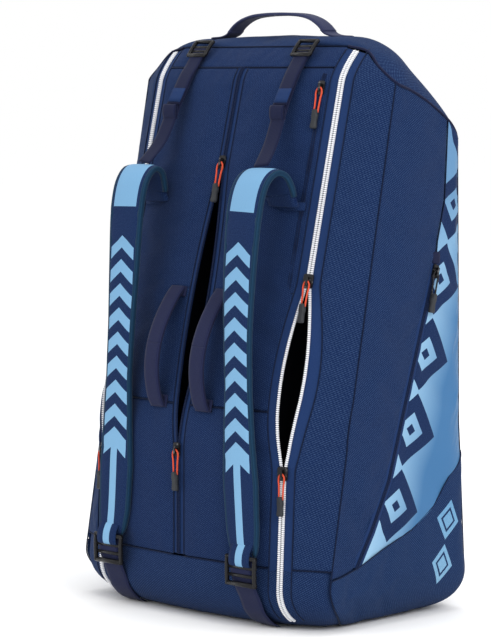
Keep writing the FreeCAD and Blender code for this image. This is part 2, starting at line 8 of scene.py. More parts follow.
import bpy
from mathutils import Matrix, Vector, noise
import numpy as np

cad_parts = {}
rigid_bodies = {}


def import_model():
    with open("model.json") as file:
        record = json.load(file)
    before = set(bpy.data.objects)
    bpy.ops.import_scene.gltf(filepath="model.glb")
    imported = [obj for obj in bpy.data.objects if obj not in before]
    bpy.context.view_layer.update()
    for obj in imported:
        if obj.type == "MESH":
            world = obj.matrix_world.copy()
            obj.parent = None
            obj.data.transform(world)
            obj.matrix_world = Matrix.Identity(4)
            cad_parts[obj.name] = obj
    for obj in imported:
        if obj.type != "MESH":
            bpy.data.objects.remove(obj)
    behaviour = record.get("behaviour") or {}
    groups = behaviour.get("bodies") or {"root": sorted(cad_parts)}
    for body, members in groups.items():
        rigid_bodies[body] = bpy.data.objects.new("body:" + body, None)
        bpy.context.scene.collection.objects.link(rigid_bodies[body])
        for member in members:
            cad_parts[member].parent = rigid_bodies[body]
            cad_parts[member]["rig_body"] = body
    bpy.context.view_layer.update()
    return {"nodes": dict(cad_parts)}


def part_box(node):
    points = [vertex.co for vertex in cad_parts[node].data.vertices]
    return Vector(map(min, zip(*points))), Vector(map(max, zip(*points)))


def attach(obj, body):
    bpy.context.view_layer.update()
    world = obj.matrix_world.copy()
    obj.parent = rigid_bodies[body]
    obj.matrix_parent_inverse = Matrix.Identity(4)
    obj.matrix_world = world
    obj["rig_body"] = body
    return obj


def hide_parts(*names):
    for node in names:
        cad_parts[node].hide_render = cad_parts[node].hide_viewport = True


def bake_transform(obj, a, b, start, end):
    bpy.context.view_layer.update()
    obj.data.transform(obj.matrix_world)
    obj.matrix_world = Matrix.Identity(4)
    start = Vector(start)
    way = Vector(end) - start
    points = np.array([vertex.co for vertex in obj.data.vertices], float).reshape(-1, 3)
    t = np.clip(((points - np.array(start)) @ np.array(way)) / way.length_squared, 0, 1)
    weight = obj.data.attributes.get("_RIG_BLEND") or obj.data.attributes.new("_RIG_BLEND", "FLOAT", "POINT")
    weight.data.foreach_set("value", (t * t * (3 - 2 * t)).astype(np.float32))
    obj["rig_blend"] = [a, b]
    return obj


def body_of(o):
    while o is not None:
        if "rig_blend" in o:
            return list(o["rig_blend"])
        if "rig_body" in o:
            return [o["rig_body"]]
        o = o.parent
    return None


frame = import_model()
NODES = frame["nodes"]

# Outlines below are in millimetres, like the bag's own drawings; MM takes them to metres.
MM = 0.001

# ---- the bag's outer skin, in millimetres ----
HEIGHT = 757.0
HALF_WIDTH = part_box("side_panel_right")[1].x / MM
SPINE_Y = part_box("strap_face_right")[0].y / MM
BASE_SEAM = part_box("strap_face_right")[0].z / MM
YOKE_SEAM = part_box("top_yoke")[0].z / MM
BEND_Z = 262.0
BEND_HALF = 30.0
SPINE_TOP = (745.0, -32.0)
ROLL_START = 700.0
ROLL_BACK = 24.0  # the strap face's top curves back this far into the roof
LEAN = (SPINE_TOP[1] - SPINE_Y) / (SPINE_TOP[0] - BEND_Z)
BASE_RADIUS = 55.0
BASE_MIDDLE_Y = 9.0
BASE_HALF_DEPTH = 163.0
CROWN = ((0, 0), (84, 5), (130, 10.5), (152, 15))
ZIP_BAND = (152, 184)
ZIP_BAND_SLOPE = 0.344
SIDE_FALL = 58.0
FULLNESS = ((0, 0.7), (55, 0.75), (232, 1.3), (292, 1.36), (745, 0.9), (757, 0.9))
BACK_LINE = ((0, 172), (250, 156), (631, 150), (640, 148))
BACK_CORNER = 28.0
CORNER_TURN = (66.0, 46.0)  # height the turn starts at, how far back it gets
CORNER_SHARE = radians(52)  # the side panels reach this far round the back corners
ROOF_SIDE = ((-20, 745), (12, 698), (38, 689), (72, 674), (113, 650), (140, 628), (165, 624))
ROOF_FRONT_Z = SPINE_TOP[0]
ROOF_BACK_Z = 624.0
GUARD_BACK_Z = 212.0  # the base guard's top at the back corner
POCKET_TIP_Z = 77.0
GUARD_LINE = ((-118, 70), (-90, 73), (-56, 82), (-12, 100), (44, 119), (87, 146), (117, 181), (150, 207),
              (175, 222))
POCKET_LINE = ((60, -74), (72, -66), (127, -31), (188, 1), (465, 90), (492, 93), (545, 107), (652, 113),
               (700, 113))
POCKET_ZIP_TOP = 465.0

# ---- zips ----
ZIP_X = 168.0
OUTER_BAND = 15.0
CENTRE_BAND = 10.0
SMALL_BAND = 8.0
ACCESSORY_X = 142.5
ACCESSORY_SPAN = (436.0, 710.0)
MOUTH = 13.0
OUTER_MOUTH = (208.0, 442.0)
CENTRE_MOUTH = (228.0, 589.0)
MID_SEAM = 281.0
HANDLE_SEAM = 430.0

SIDES = (("left", -1), ("right", 1))


# ---- curves ----
def lerp(a, b, t):
    return a + (b - a) * t


def along(line, t):
    """Value at t on straight runs through (t, value) points."""
    for (t0, v0), (t1, v1) in zip(line, line[1:]):
        if t <= t1:
            return v0 + (v1 - v0) * (t - t0) / (t1 - t0)
    return line[-1][1]


def running_lengths(points):
    """Length along the points at each of them."""
    lengths = [0.0]
    for a, b in zip(points, points[1:]):
        lengths.append(lengths[-1] + (b - a).length)
    return lengths


def smooth_line(points, steps=16):
    """A smooth curve through the points, as a function of 0 to 1 by length."""
    pts = [Vector(p) for p in points]
    ends = [pts[0] * 2 - pts[1]] + pts + [pts[-1] * 2 - pts[-2]]
    dense = []
    for i in range(1, len(ends) - 2):
        a, b, c, d = ends[i - 1:i + 3]
        for k in range(steps):
            t = k / steps
            dense.append(0.5 * (b * 2 + (c - a) * t + (a * 2 - b * 5 + c * 4 - d) * t * t
                                + (b * 3 - a - c * 3 + d) * t ** 3))
    dense.append(pts[-1])
    lengths = running_lengths(dense)

    def at(t):
        want = min(max(t, 0.0), 1.0) * lengths[-1]
        k = min(bisect_right(lengths, want), len(lengths) - 1) - 1
        span = lengths[k + 1] - lengths[k]
        return dense[k].lerp(dense[k + 1], (want - lengths[k]) / span if span else 0.0)

    return at


def sampled(path, count):
    """Points of a curve in count equal steps."""
    return [path(k / count) for k in range(count + 1)]


def sharp_line(points):
    """Straight runs through the points, as a function of 0 to 1 by length."""
    pts = [Vector(p) for p in points]
    lengths = running_lengths(pts)
    marks = [(l / lengths[-1], p) for l, p in zip(lengths, pts)]

    def at(t):
        for (t0, p0), (t1, p1) in zip(marks, marks[1:]):
            if t <= t1:
                return p0.lerp(p1, (t - t0) / (t1 - t0))
        return pts[-1].copy()

    return at


# ---- the skin as functions of drawing coordinates ----
def spine_y(z):
    if z <= BEND_Z - BEND_HALF:
        return SPINE_Y
    if z < BEND_Z + BEND_HALF:
        return SPINE_Y + LEAN * (z - BEND_Z + BEND_HALF) ** 2 / (4 * BEND_HALF)
    lean = SPINE_Y + LEAN * (z - BEND_Z)
    if z <= ROLL_START:
        return lean
    return lean + ROLL_BACK * ((z - ROLL_START) / (SPINE_TOP[0] - ROLL_START)) ** 1.6


def base_inset(z):
    if z >= BASE_RADIUS:
        return 0.0
    return BASE_RADIUS - sqrt(BASE_RADIUS**2 - (BASE_RADIUS - max(z, 0)) ** 2)


def crown(x, z):
    x = abs(x)
    full = along(FULLNESS, z)
    start, end = ZIP_BAND
    fall = along(CROWN, x) * full + ZIP_BAND_SLOPE * min(max(x - start, 0), end - start)
    band_edge = CROWN[-1][1] * full + ZIP_BAND_SLOPE * (end - start)
    return fall + (SIDE_FALL * full - band_edge) * max(x - end, 0) / (HALF_WIDTH - end)


def front(x, z):
    """Strap face: x across, z up."""
    inset = base_inset(z)
    return Vector((x, spine_y(z) + crown(x / (1 - inset / HALF_WIDTH), z) + inset, z))


def side_seam_y(z):
    """Where the strap face's cloth meets the side's; it curves back round the lower front corner."""
    low = max(1 - z / CORNER_TURN[0], 0)
    return spine_y(z) + SIDE_FALL * along(FULLNESS, z) + CORNER_TURN[1] * low * low


def wall(sign, q, z):
    """Side and back: q is y along the side, carried on round the back corner and across the back."""
    back = along(BACK_LINE, z)
    turn = back - BACK_CORNER
    quarter = BACK_CORNER * pi / 2
    if q <= turn:
        x, y = HALF_WIDTH, q
    elif q <= turn + quarter:
        angle = (q - turn) / BACK_CORNER
        x = HALF_WIDTH - BACK_CORNER + BACK_CORNER * cos(angle)
        y = turn + BACK_CORNER * sin(angle)
    else:
        x, y = HALF_WIDTH - BACK_CORNER - (q - turn - quarter), back
    inset = base_inset(z)
    x *= 1 - inset / HALF_WIDTH
    y = BASE_MIDDLE_Y + (y - BASE_MIDDLE_Y) * (1 - inset / BASE_HALF_DEPTH)
    return Vector((sign * x, y, z))


def corner_q(z):
    """q where the side panels meet the back panel."""
    return along(BACK_LINE, z) - BACK_CORNER + BACK_CORNER * CORNER_SHARE


def mouth_gap(z, mouth):
    if not mouth[0] < z < mouth[1]:
        return 0.0
    return MOUTH * sin(pi * (z - mouth[0]) / (mouth[1] - mouth[0]))


def normal_of(surface, p, q, step=0.5):
    """Unit normal of a surface function, pointing away from the bag's middle."""
    across = surface(p + step, q) - surface(p - step, q)
    up = surface(p, q + step) - surface(p, q - step)
    n = across.cross(up).normalized()
    middle = Vector((0, 10, 380))
    return n if n.dot(surface(p, q) - middle) > 0 else -n


def mirrored(points, sign):
    return [Vector((sign * p[0], p[1], p[2])) for p in points]


# ---- meshes ----
def linked(name, data):
    """A new object in the scene."""
    obj = bpy.data.objects.new(name, data)
    bpy.context.scene.collection.objects.link(obj)
    return obj


def new_object(name, verts, faces, uvs):
    """uvs gives each vertex's place on the cloth, in metres."""
    mesh = bpy.data.meshes.new(name)
    mesh.from_pydata([v * MM for v in verts], [], faces)
    layer = mesh.uv_layers.new(name="UVMap")
    for loop in mesh.loops:
        layer.data[loop.index].uv = uvs[loop.vertex_index]
    mesh.polygons.foreach_set("use_smooth", [True] * len(mesh.polygons))
    mesh.update()
    return linked(name, mesh)


def flat_shaded(obj):
    obj.data.polygons.foreach_set("use_smooth", [False] * len(obj.data.polygons))


def apply_modifiers(obj):
    """The object's mesh with its modifiers worked in."""
    depsgraph = bpy.context.evaluated_depsgraph_get()
    made = bpy.data.meshes.new_from_object(obj.evaluated_get(depsgraph))
    obj.modifiers.clear()
    obj.data = made


def coons(south, north, west, east):
    """Fills the space inside four boundary curves, each a function of 0 to 1."""
    def at(u, v):
        ruled = lerp(south(u), north(u), v) + lerp(west(v), east(v), u)
        corners = lerp(lerp(south(0), south(1), u), lerp(north(0), north(1), u), v)
        return ruled - corners
    return at


def grid(name, domain, surface, nu, nv, lift=0.0):
    """Sheet of nu by nv faces: domain gives drawing coordinates, surface takes them to the bag."""
    verts, uvs, faces = [], [], []
    for j in range(nv + 1):
        for i in range(nu + 1):
            p, q = domain(i / nu, j / nv)
            point = surface(p, q)
            if lift:
                point = point + normal_of(surface, p, q) * lift
            verts.append(point)
            uvs.append((p * MM, q * MM))
    for j in range(nv):
        for i in range(nu):
            a = j * (nu + 1) + i
            faces.append((a, a + 1, a + nu + 2, a + nu + 1))
    obj = new_object(name, verts, faces, uvs)
    point_out(obj)
    return obj


def point_out(obj):
    """Turns the faces so that they look away from the bag's middle."""
    mesh = obj.data
    middle = Vector((0, 0.01, 0.38))
    if sum(face.normal.dot(face.center - middle) * face.area for face in mesh.polygons) < 0:
        mesh.flip_normals()


def shell(obj, thickness, rounding=2):
    """Gives a sheet its cloth thickness, inward, with soft rolled edges."""
    solid = obj.modifiers.new("thickness", "SOLIDIFY")
    solid.thickness = thickness * MM
    solid.offset = -1
    solid.use_even_offset = True
    smooth(obj, rounding)


def smooth(obj, levels):
    """Subdivides the mesh smoothly, after any modifiers it already has."""
    finer = obj.modifiers.new("smooth", "SUBSURF")
    finer.levels = finer.render_levels = levels
    apply_modifiers(obj)


def bevel(obj, width):
    """Softens the sharp edges."""
    edges = obj.modifiers.new("bevel", "BEVEL")
    edges.width = width * MM
    edges.segments = 2
    edges.limit_method = "ANGLE"


def boundary_vertices(mesh):
    count = Counter(key for face in mesh.polygons for key in face.edge_keys)
    return {v for key, n in count.items() if n == 1 for v in key}


def relax(obj, pinned, pressure, cap, slack, frames=18):
    """Lets cloth settle with its pinned vertices held, no vertex moving more than cap."""
    start = [v.co.copy() for v in obj.data.vertices]
    group = obj.vertex_groups.new(name="held")
    group.add(sorted(pinned), 1.0, "REPLACE")
    cloth = obj.modifiers.new("cloth", "CLOTH")
    settings = cloth.settings
    settings.quality = 6
    settings.mass = 0.25
    settings.tension_stiffness = settings.compression_stiffness = 25
    settings.shear_stiffness = 10
    settings.bending_stiffness = 1.2
    settings.use_pressure = True
    settings.uniform_pressure_force = pressure
    settings.shrink_min = -slack
    settings.vertex_group_mass = "held"
    settings.effector_weights.gravity = 0.0
    cloth.collision_settings.use_collision = False
    cloth.point_cache.frame_start = 1
    cloth.point_cache.frame_end = frames
    scene = bpy.context.scene
    for frame_number in range(1, frames + 1):
        scene.frame_set(frame_number)
    apply_modifiers(obj)
    scene.frame_set(1)
    obj.vertex_groups.clear()
    for vertex, old in zip(obj.data.vertices, start):
        move = vertex.co - old
        if move.length > cap * MM:
            vertex.co = old + move * (cap * MM / move.length)


def ripple(obj, height, size, seed, keep):
    """Low, wide unevenness along the normals, none at the kept vertices."""
    mesh = obj.data
    moves = []
    for vertex in mesh.vertices:
        spot = vertex.co / (size * MM) + Vector((seed, seed * 1.7, -seed))
        amount = 0.0 if vertex.index in keep else noise.noise(spot)
        moves.append(vertex.normal * (amount * height * MM))
    for vertex, move in zip(mesh.vertices, moves):
        vertex.co += move


def fix_normals(obj):
    """Turns every closed part of a mesh right side out."""
    bpy.ops.object.select_all(action="DESELECT")
    obj.select_set(True)
    bpy.context.view_layer.objects.active = obj
    bpy.ops.object.mode_set(mode="EDIT")
    bpy.ops.mesh.select_all(action="SELECT")
    bpy.ops.mesh.normals_make_consistent(inside=False)
    bpy.ops.object.mode_set(mode="OBJECT")
    return obj


def ring_faces(rings, n):
    """Faces between each ring of n vertices and the next."""
    return [(i * n + k, i * n + (k + 1) % n, (i + 1) * n + (k + 1) % n, (i + 1) * n + k)
            for i in range(rings - 1) for k in range(n)]


def closed_faces(rings, n):
    """Faces between the rings and over the first and the last."""
    last = (rings - 1) * n
    return ring_faces(rings, n) + [tuple(reversed(range(n))), tuple(range(last, last + n))]


def tube(name, path, ring, width, thick, across):
    """Solid swept along points with a ring of (share of half width, share of half thickness)."""
    verts, uvs = [], []
    for i, (point, length) in enumerate(zip(path, running_lengths(path))):
        t = i / (len(path) - 1)
        run = (path[min(i + 1, len(path) - 1)] - path[max(i - 1, 0)]).normalized()
        side = across(t, point, run)
        side = (side - run * side.dot(run)).normalized()
        out = side.cross(run).normalized()
        wide = width(t) if callable(width) else width
        deep = thick(t) if callable(thick) else thick
        for s, o in ring:
            verts.append(point + side * (s * wide / 2) + out * (o * deep / 2))
            uvs.append((s * wide / 2 * MM, length * MM))
    return fix_normals(new_object(name, verts, closed_faces(len(path), len(ring)), uvs))


def ribbon(name, path, width, thick, across):
    """Flat woven band along a list of points, with rounded edges; across gives its width direction."""
    reach = 1 - thick / 2 / width
    upper = [(reach * (-1 + 2 * k / 7), 0.55 if k in (0, 7) else 1.0) for k in range(8)]
    return tube(name, path, upper + [(-s, -o) for s, o in upper], width, thick, across)


def round_ring(n):
    return [(cos(2 * pi * k / n), sin(2 * pi * k / n)) for k in range(n)]


def cord_tube(name, path, radius, n=8):
    """Round tube along points; its side direction is carried on from point to point."""
    side = None

    def across(t, point, run):
        nonlocal side
        side = side or run.orthogonal()
        side = (side - run * side.dot(run)).normalized()
        return side

    return tube(name, path, round_ring(n), radius * 2, radius * 2, across)


def join(name, objects):
    """One object from several, in their order."""
    bpy.ops.object.select_all(action="DESELECT")
    for obj in objects:
        obj.select_set(True)
    bpy.context.view_layer.objects.active = objects[0]
    bpy.ops.object.join()
    objects[0].name = name
    objects[0].data.name = name
    return objects[0]


# ---- materials ----
class Value:
    """A number that a material works out; + - * / lay the nodes for it."""

    def __init__(self, shader, socket):
        self.shader = shader
        self.socket = socket

    def __add__(self, other):
        return self.shader.math("ADD", self, other)

    def __sub__(self, other):
        return self.shader.math("SUBTRACT", self, other)

    def __rsub__(self, other):
        return self.shader.math("SUBTRACT", other, self)

    def __mul__(self, other):
        return self.shader.math("MULTIPLY", self, other)

    def __truediv__(self, other):
        return self.shader.math("DIVIDE", self, other)

    def __gt__(self, other):
        return self.shader.math("GREATER_THAN", self, other)

    def __lt__(self, other):
        return self.shader.math("LESS_THAN", self, other)


class Shader:
    """Short ways to lay out a material's nodes."""

    def __init__(self, name):
        self.material = bpy.data.materials.new(name)
        self.material.use_nodes = True
        self.nodes = self.material.node_tree.nodes
        self.links = self.material.node_tree.links
        self.surface = self.nodes["Principled BSDF"]

    def node(self, kind, **settings):
        made = self.nodes.new("ShaderNode" + kind)
        for key, value in settings.items():
            setattr(made, key, value)
        return made

    def put(self, socket, value):
        value = getattr(value, "socket", value)
        if isinstance(value, bpy.types.NodeSocket):
            self.links.new(value, socket)
        else:
            socket.default_value = value

    def math(self, operation, a, b=0.0):
        made = self.node("Math", operation=operation)
        for socket, value in zip(made.inputs, (a, b)):
            self.put(socket, value)
        return Value(self, made.outputs[0])

    def wave(self, value, k):
        return self.math("SINE", value * k)

    def cloth_axes(self):
        """u and v in metres on the cloth."""
        place = self.node("TexCoord")
        split = self.node("SeparateXYZ")
        self.links.new(place.outputs["UV"], split.inputs[0])
        return Value(self, split.outputs[0]), Value(self, split.outputs[1]), place

    def mix(self, factor, a, b):
        made = self.node("Mix", data_type="RGBA")
        self.put(made.inputs["Factor"], factor)
        self.put(made.inputs["A"], a)
        self.put(made.inputs["B"], b)
        return made.outputs["Result"]

    def noise(self, scale, detail, place):
        made = self.node("TexNoise")
        made.inputs["Scale"].default_value = scale
        made.inputs["Detail"].default_value = detail
        self.links.new(place, made.inputs["Vector"])
        return Value(self, made.outputs["Fac"])

    def ramp(self, value, low, high):
        """0 below low, 1 above high."""
        made = self.node("MapRange")
        self.put(made.inputs["Value"], value)
        made.inputs["From Min"].default_value = low
        made.inputs["From Max"].default_value = high
        return Value(self, made.outputs["Result"])

    def bump(self, height, strength, distance):
        made = self.node("Bump")
        made.inputs["Strength"].default_value = strength
        made.inputs["Distance"].default_value = distance
        self.put(made.inputs["Height"], height)
        self.links.new(made.outputs[0], self.surface.inputs["Normal"])

    def finish(self, colour, roughness=0.8, metallic=0.0, sheen=0.0, gloss=0.5):
        self.put(self.surface.inputs["Base Color"], colour)
        self.put(self.surface.inputs["Roughness"], roughness)
        self.surface.inputs["Metallic"].default_value = metallic
        self.surface.inputs["Sheen Weight"].default_value = sheen
        self.surface.inputs["Specular IOR Level"].default_value = gloss
        return self.material


def rgb(r, g, b):
    return (r, g, b, 1.0)


NAVY = rgb(0.0038, 0.0142, 0.062)
FACE_NAVY = rgb(0.0028, 0.0120, 0.058)
GUARD_NAVY = rgb(0.0060, 0.0205, 0.076)
NAVY_LIGHT = rgb(0.052, 0.098, 0.205)
# the side pockets' sky blue with a painted sheen, and the same sky blue in painted shade
SKY_WITH_PAINTED_SHEEN = rgb(0.27, 0.46, 0.64)
SKY_WITH_PAINTED_SHADE = rgb(0.052, 0.155, 0.320)
PRINT_ROUGHNESS = 0.42
# the straps' print, in metres from the pad's foot
STRIPE_TOP = 0.126
CHEVRONS = (0.159, 0.400)
PATCH_FOOT = 0.438


def shade(colour, share, extra=0.0):
    return rgb(*(min(1, c * share + extra) for c in colour[:3]))


def weave(shader, pitch, diagonal):
    """Height of a woven cloth at u, v, 0 to 1, and the place to vary its colour by."""
    u, v, place = shader.cloth_axes()
    k = 2 * pi / (pitch * MM)
    if diagonal:
        height = shader.wave(v - u * 0.62, k) * 0.34 + shader.wave(u + v * 0.35, k * 0.9) * 0.13
    else:
        height = shader.wave(u, k) * shader.wave(v, k) * 0.5
    return height + 0.5, place, u, v


def fabric(name, pitch, speckle, colour=NAVY, diagonal=True, print_mask=None, print_colour=None,
           roughness=0.8, strength=0.5):
    """Woven polyester with a faint light fleck in the weave."""
    shader = Shader(name)
    height, place, u, v = weave(shader, pitch, diagonal)
    fine = shader.noise(620.0, 1.0, place.outputs["UV"])
    broad = shader.noise(7.0, 3.0, place.outputs["Object"])
    fleck = shader.ramp(height * 0.55 + fine * 0.85, 0.70, 1.02)
    lit = height * 0.35 + fleck
    base = shader.mix(broad * 0.5, colour, shade(colour, 0.62))
    tone = shader.mix(lit * speckle, base, NAVY_LIGHT)
    rough = roughness
    if print_mask:
        mask = print_mask(shader, u, v)
        inked = shader.mix(lit * 0.06, print_colour(shader, u, v), NAVY)
        tone = shader.mix(mask, tone, inked)
        rough = roughness - mask * (roughness - PRINT_ROUGHNESS)
    shader.bump(height + fine * 0.5, strength, 0.0006)
    return shader.finish(tone, rough, sheen=0.02, gloss=0.05)


def webbing_material(name, colour):
    """Ribbed webbing: fine ribs along it, crossed by the weft."""
    shader = Shader(name)
    u, v, place = shader.cloth_axes()
    height = shader.wave(u, 2 * pi / (2.2 * MM)) * 0.35 + shader.wave(v, 2 * pi / (1.3 * MM)) * 0.2
    fuzz = shader.noise(700.0, 3.0, place.outputs["Object"])
    light = rgb(colour[0] * 2.1, colour[1] * 2.1, colour[2] * 1.8)
    tone = shader.mix(shader.ramp(height + fuzz, 0.2, 1.2), colour, light)
    shader.bump(height, 0.45, 0.0005)
    return shader.finish(tone, 0.7, sheen=0.05, gloss=0.08)


def plastic(name, colour, roughness, grain=0.0):
    """Moulded plastic with a slight flow unevenness."""
    shader = Shader(name)
    place = shader.node("TexCoord").outputs["Object"]
    flow = shader.noise(60.0, 3.0, place)
    tone = shader.mix(flow * 0.4, colour, shade(colour, 1.8, 0.004))
    if grain:
        shader.bump(shader.noise(2500.0, 2.0, place), grain, 0.0003)
    else:
        shader.bump(flow, 0.08, 0.0005)
    return shader.finish(tone, flow * 0.12 + (roughness - 0.05), gloss=0.22)


def metal(name, colour):
    """Lacquered metal with worn, brighter spots."""
    shader = Shader(name)
    wear = shader.noise(220.0, 4.0, shader.node("TexCoord").outputs["Object"])
    tone = shader.mix(shader.ramp(wear, 0.55, 0.72), colour, rgb(0.16, 0.16, 0.17))
    shader.bump(wear, 0.1, 0.0004)
    return shader.finish(tone, 0.35, metallic=0.8)


def cord_material(name, colour):
    """Braided cord."""
    shader = Shader(name)
    u, v, _ = shader.cloth_axes()
    k = 2 * pi / (1.4 * MM)
    braid = shader.math("MAXIMUM", shader.wave(u + v, k), shader.wave(v - u, k))
    tone = shader.mix(shader.ramp(braid, -0.2, 0.9), shade(colour, 0.45), colour)
    shader.bump(braid, 0.5, 0.0004)
    return shader.finish(tone, 0.6, sheen=0.05, gloss=0.3)


def pocket_ink_and_painted_light(shader, u, v):
    """Sky blue print with a painted sheen near the zip at mid-height, and painted shade that deepens towards the back
    of the bag and the head of the pocket.
    """
    # painted shade towards the back of the bag, and towards the pocket's head above the painted sheen
    across = shader.ramp(u - v * 0.32, -0.066, 0.012)
    high = shader.ramp(v, 0.40, 0.56) * 0.72
    return shader.mix(shader.math("MAXIMUM", across, high), SKY_WITH_PAINTED_SHEEN, SKY_WITH_PAINTED_SHADE)


def lattice(shader, u, v, slope, start, pitch, half):
    """Column of diamonds up a slanted line: 0 at a diamond's middle, 1 at its edge."""
    turn = shader.math("FRACT", (v + u * slope) / pitch)
    off_line = u - start - v * slope
    return shader.math("ABSOLUTE", turn - 0.5) * 2.0 + shader.math("ABSOLUTE", off_line) / half


def between(value, low, high):
    return (value > low) * (value < high)


def pocket_mask(shader, u, v):
    """Sky blue ground with a column of navy diamonds, none cut off at the pocket's foot."""
    d = lattice(shader, u, v, 0.30, -0.035, 0.105, 0.047)
    marks = shader.math("MAXIMUM", between(d, 0.46, 0.96), d < 0.16)
    return 1.0 - marks * (v + u * 0.30 > 0.105)


def guard_mask(shader, u, v):
    """Two sky blue diamonds in a short slanted column."""
    d = lattice(shader, u, v, 0.22, 0.086, 0.060, 0.023)
    return ((d < 0.9) - between(d, 0.42, 0.58)) * between(v, 0.0385, 0.1565)


def guard_ink(shader, u, v):
    return shader.mix(shader.ramp(v, 0.03, 0.21), rgb(0.20, 0.38, 0.55), rgb(0.10, 0.27, 0.48))


def strap_mask(shader, u, v):
    """Sky blue chevrons, with a plain patch above them and an arrow on a narrow stripe below."""
    wide = shader.math("ABSOLUTE", u)
    fold = v + wide * 0.75
    bars = shader.math("FRACT", fold / 0.032) < 0.52
    field = wide < 0.0215
    stripe = (wide < 0.0062) * between(v, 0.0, STRIPE_TOP)
    arrow = between(fold, STRIPE_TOP - 0.004, STRIPE_TOP + 0.020)
    chevrons = bars * between(fold, *CHEVRONS) * field
    low = shader.math("MAXIMUM", stripe, arrow * field)
    return shader.math("MAXIMUM", shader.math("MAXIMUM", chevrons, low), (v > PATCH_FOOT) * field)


def strap_ink(shader, u, v):
    return shader.mix(shader.ramp(v, 0.0, 0.5), rgb(0.19, 0.38, 0.58), rgb(0.16, 0.33, 0.52))


SHELL = fabric("shell_twill", pitch=2.9, speckle=0.42)
FACE = fabric("face_twill", colour=FACE_NAVY, pitch=2.6, speckle=0.36)
GUARD = fabric("guard_weave", colour=GUARD_NAVY, pitch=3.4, diagonal=False, speckle=0.42, print_mask=guard_mask,
               print_colour=guard_ink, strength=0.9)
POCKET = fabric("pocket_satin", pitch=1.8, speckle=0.3, print_mask=pocket_mask, print_colour=pocket_ink_and_painted_light,
                roughness=0.6, strength=0.25)
STRAP = fabric("strap_print", pitch=1.8, speckle=0.3, print_mask=strap_mask, print_colour=strap_ink, strength=0.35)
TAPE = fabric("zip_tape", colour=rgb(0.012, 0.032, 0.110), pitch=1.2, diagonal=False, speckle=0.15)
LINING = fabric("dark_lining", colour=rgb(0.006, 0.008, 0.014), pitch=1.6, speckle=0.04, roughness=0.9)
GROSGRAIN = webbing_material("grosgrain", rgb(0.004, 0.020, 0.048))
WEBBING = webbing_material("webbing", rgb(0.0085, 0.0110, 0.038))
TOP_WEBBING = webbing_material("webbing_top", rgb(0.0170, 0.0205, 0.056))
DARK_WEBBING = webbing_material("webbing_dark", rgb(0.0050, 0.0072, 0.028))
SEAM = webbing_material("seam_shadow", rgb(0.0026, 0.0070, 0.0270))
WHITE_TEETH = plastic("white_teeth", rgb(0.78, 0.79, 0.82), 0.35)
GREY_CORE = plastic("teeth_core", rgb(0.40, 0.41, 0.45), 0.5)
NAVY_TEETH = webbing_material("navy_coil", rgb(0.0045, 0.0110, 0.042))
BUCKLE = plastic("black_acetal", rgb(0.0055, 0.0055, 0.0065), 0.25, 0.12)
TAB = plastic("charcoal_tab", rgb(0.020, 0.022, 0.026), 0.45, 0.4)
SLIDER = metal("black_slider", rgb(0.018, 0.018, 0.020))
RED_CORD = cord_material("red_cord", rgb(0.78, 0.085, 0.03))
BOARD = plastic("base_board_plastic", rgb(0.03, 0.03, 0.035), 0.6, 0.5)


def dress(obj, material, body="root", nodes=()):
    """Gives a piece its material and body, and hides the CAD nodes it stands for."""
    obj.data.materials.clear()
    obj.data.materials.append(material)
    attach(obj, body)
    if nodes:
        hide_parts(*nodes)
    return obj


def bend(obj, material, node, body, start, end):
    """Webbing that stays still at start and goes with the body from end on."""
    obj.data.materials.append(material)
    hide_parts(node)
    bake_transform(obj, "root", body, start=start * MM, end=end * MM)


# ---- shell panels ----
def roof_side_z(y):
    return along(ROOF_SIDE, y)


def gusset_top(x):
    """z where the gusset meets the roof seam."""
    return along(((ZIP_BAND[1] - 1, 738), (205, 718), (HALF_WIDTH, 698)), x)


def pocket_y(z):
    return along(POCKET_LINE, z)


def pocket_gap(z, full):
    """Distance kept from the pocket's line: full beside its zip, next to none above it."""
    return lerp(full, 0.6, min(max((z - POCKET_ZIP_TOP) / 10, 0), 1))


def guard_z(q):
    return along(GUARD_LINE, q)


def panel(name, domain, surface, size, material, nodes=(), pressure=1.2, cap=5.0, slack=0.008,
          lift=0.0, thickness=3.2, seed=1.0, uneven=1.2):
    """One sewn panel: held along its seams, filled out a little by what is behind it."""
    obj = grid(name, domain, surface, *size, lift=lift)
    edge = boundary_vertices(obj.data)
    relax(obj, edge, pressure, cap, slack)
    ripple(obj, uneven, 60.0, seed, edge)
    shell(obj, thickness)
    return dress(obj, material, nodes=nodes)


def face_edge(z):
    """x of the strap face's edge at an outer zip."""
    return ZIP_X - OUTER_BAND - mouth_gap(z, OUTER_MOUTH)


def centre_edge(z):
    return CENTRE_BAND - 1.0 + mouth_gap(z, CENTRE_MOUTH)


def make_strap_faces():
    spans = (("lower", BASE_SEAM, MID_SEAM, 24), ("upper", MID_SEAM, YOKE_SEAM, 60))
    for name, sign in SIDES:
        for part, z0, z1, rows in spans:
            def domain(u, v):
                z = lerp(z0 + 0.4, z1 - 0.4, v)
                return sign * lerp(centre_edge(z), face_edge(z), u), z
            panel("strap_face_%s_%s" % (name, part), domain, front, (20, rows), FACE,
                  ["strap_face_" + name], seed=sign * 3.0 + z0, cap=4.0)


def make_yoke():
    def domain(u, v):
        z = lerp(YOKE_SEAM + 0.4, ROOF_FRONT_Z, v)
        return lerp(-1, 1, u) * (ZIP_X - OUTER_BAND), z
    panel("top_yoke_panel", domain, front, (44, 6), FACE, ["top_yoke"], cap=2.0)


def make_gussets():
    for name, sign in SIDES:
        def domain(u, v):
            edge = ZIP_X + OUTER_BAND
            z = lerp(BASE_SEAM, gusset_top(lerp(edge, HALF_WIDTH, u)), v)
            return sign * lerp(edge + mouth_gap(z, OUTER_MOUTH), HALF_WIDTH, u), z
        panel("gusset_%s_panel" % name, domain, front, (9, 90), SHELL, ["gusset_" + name],
              seed=sign * 5.0, cap=5.0, slack=0.01)


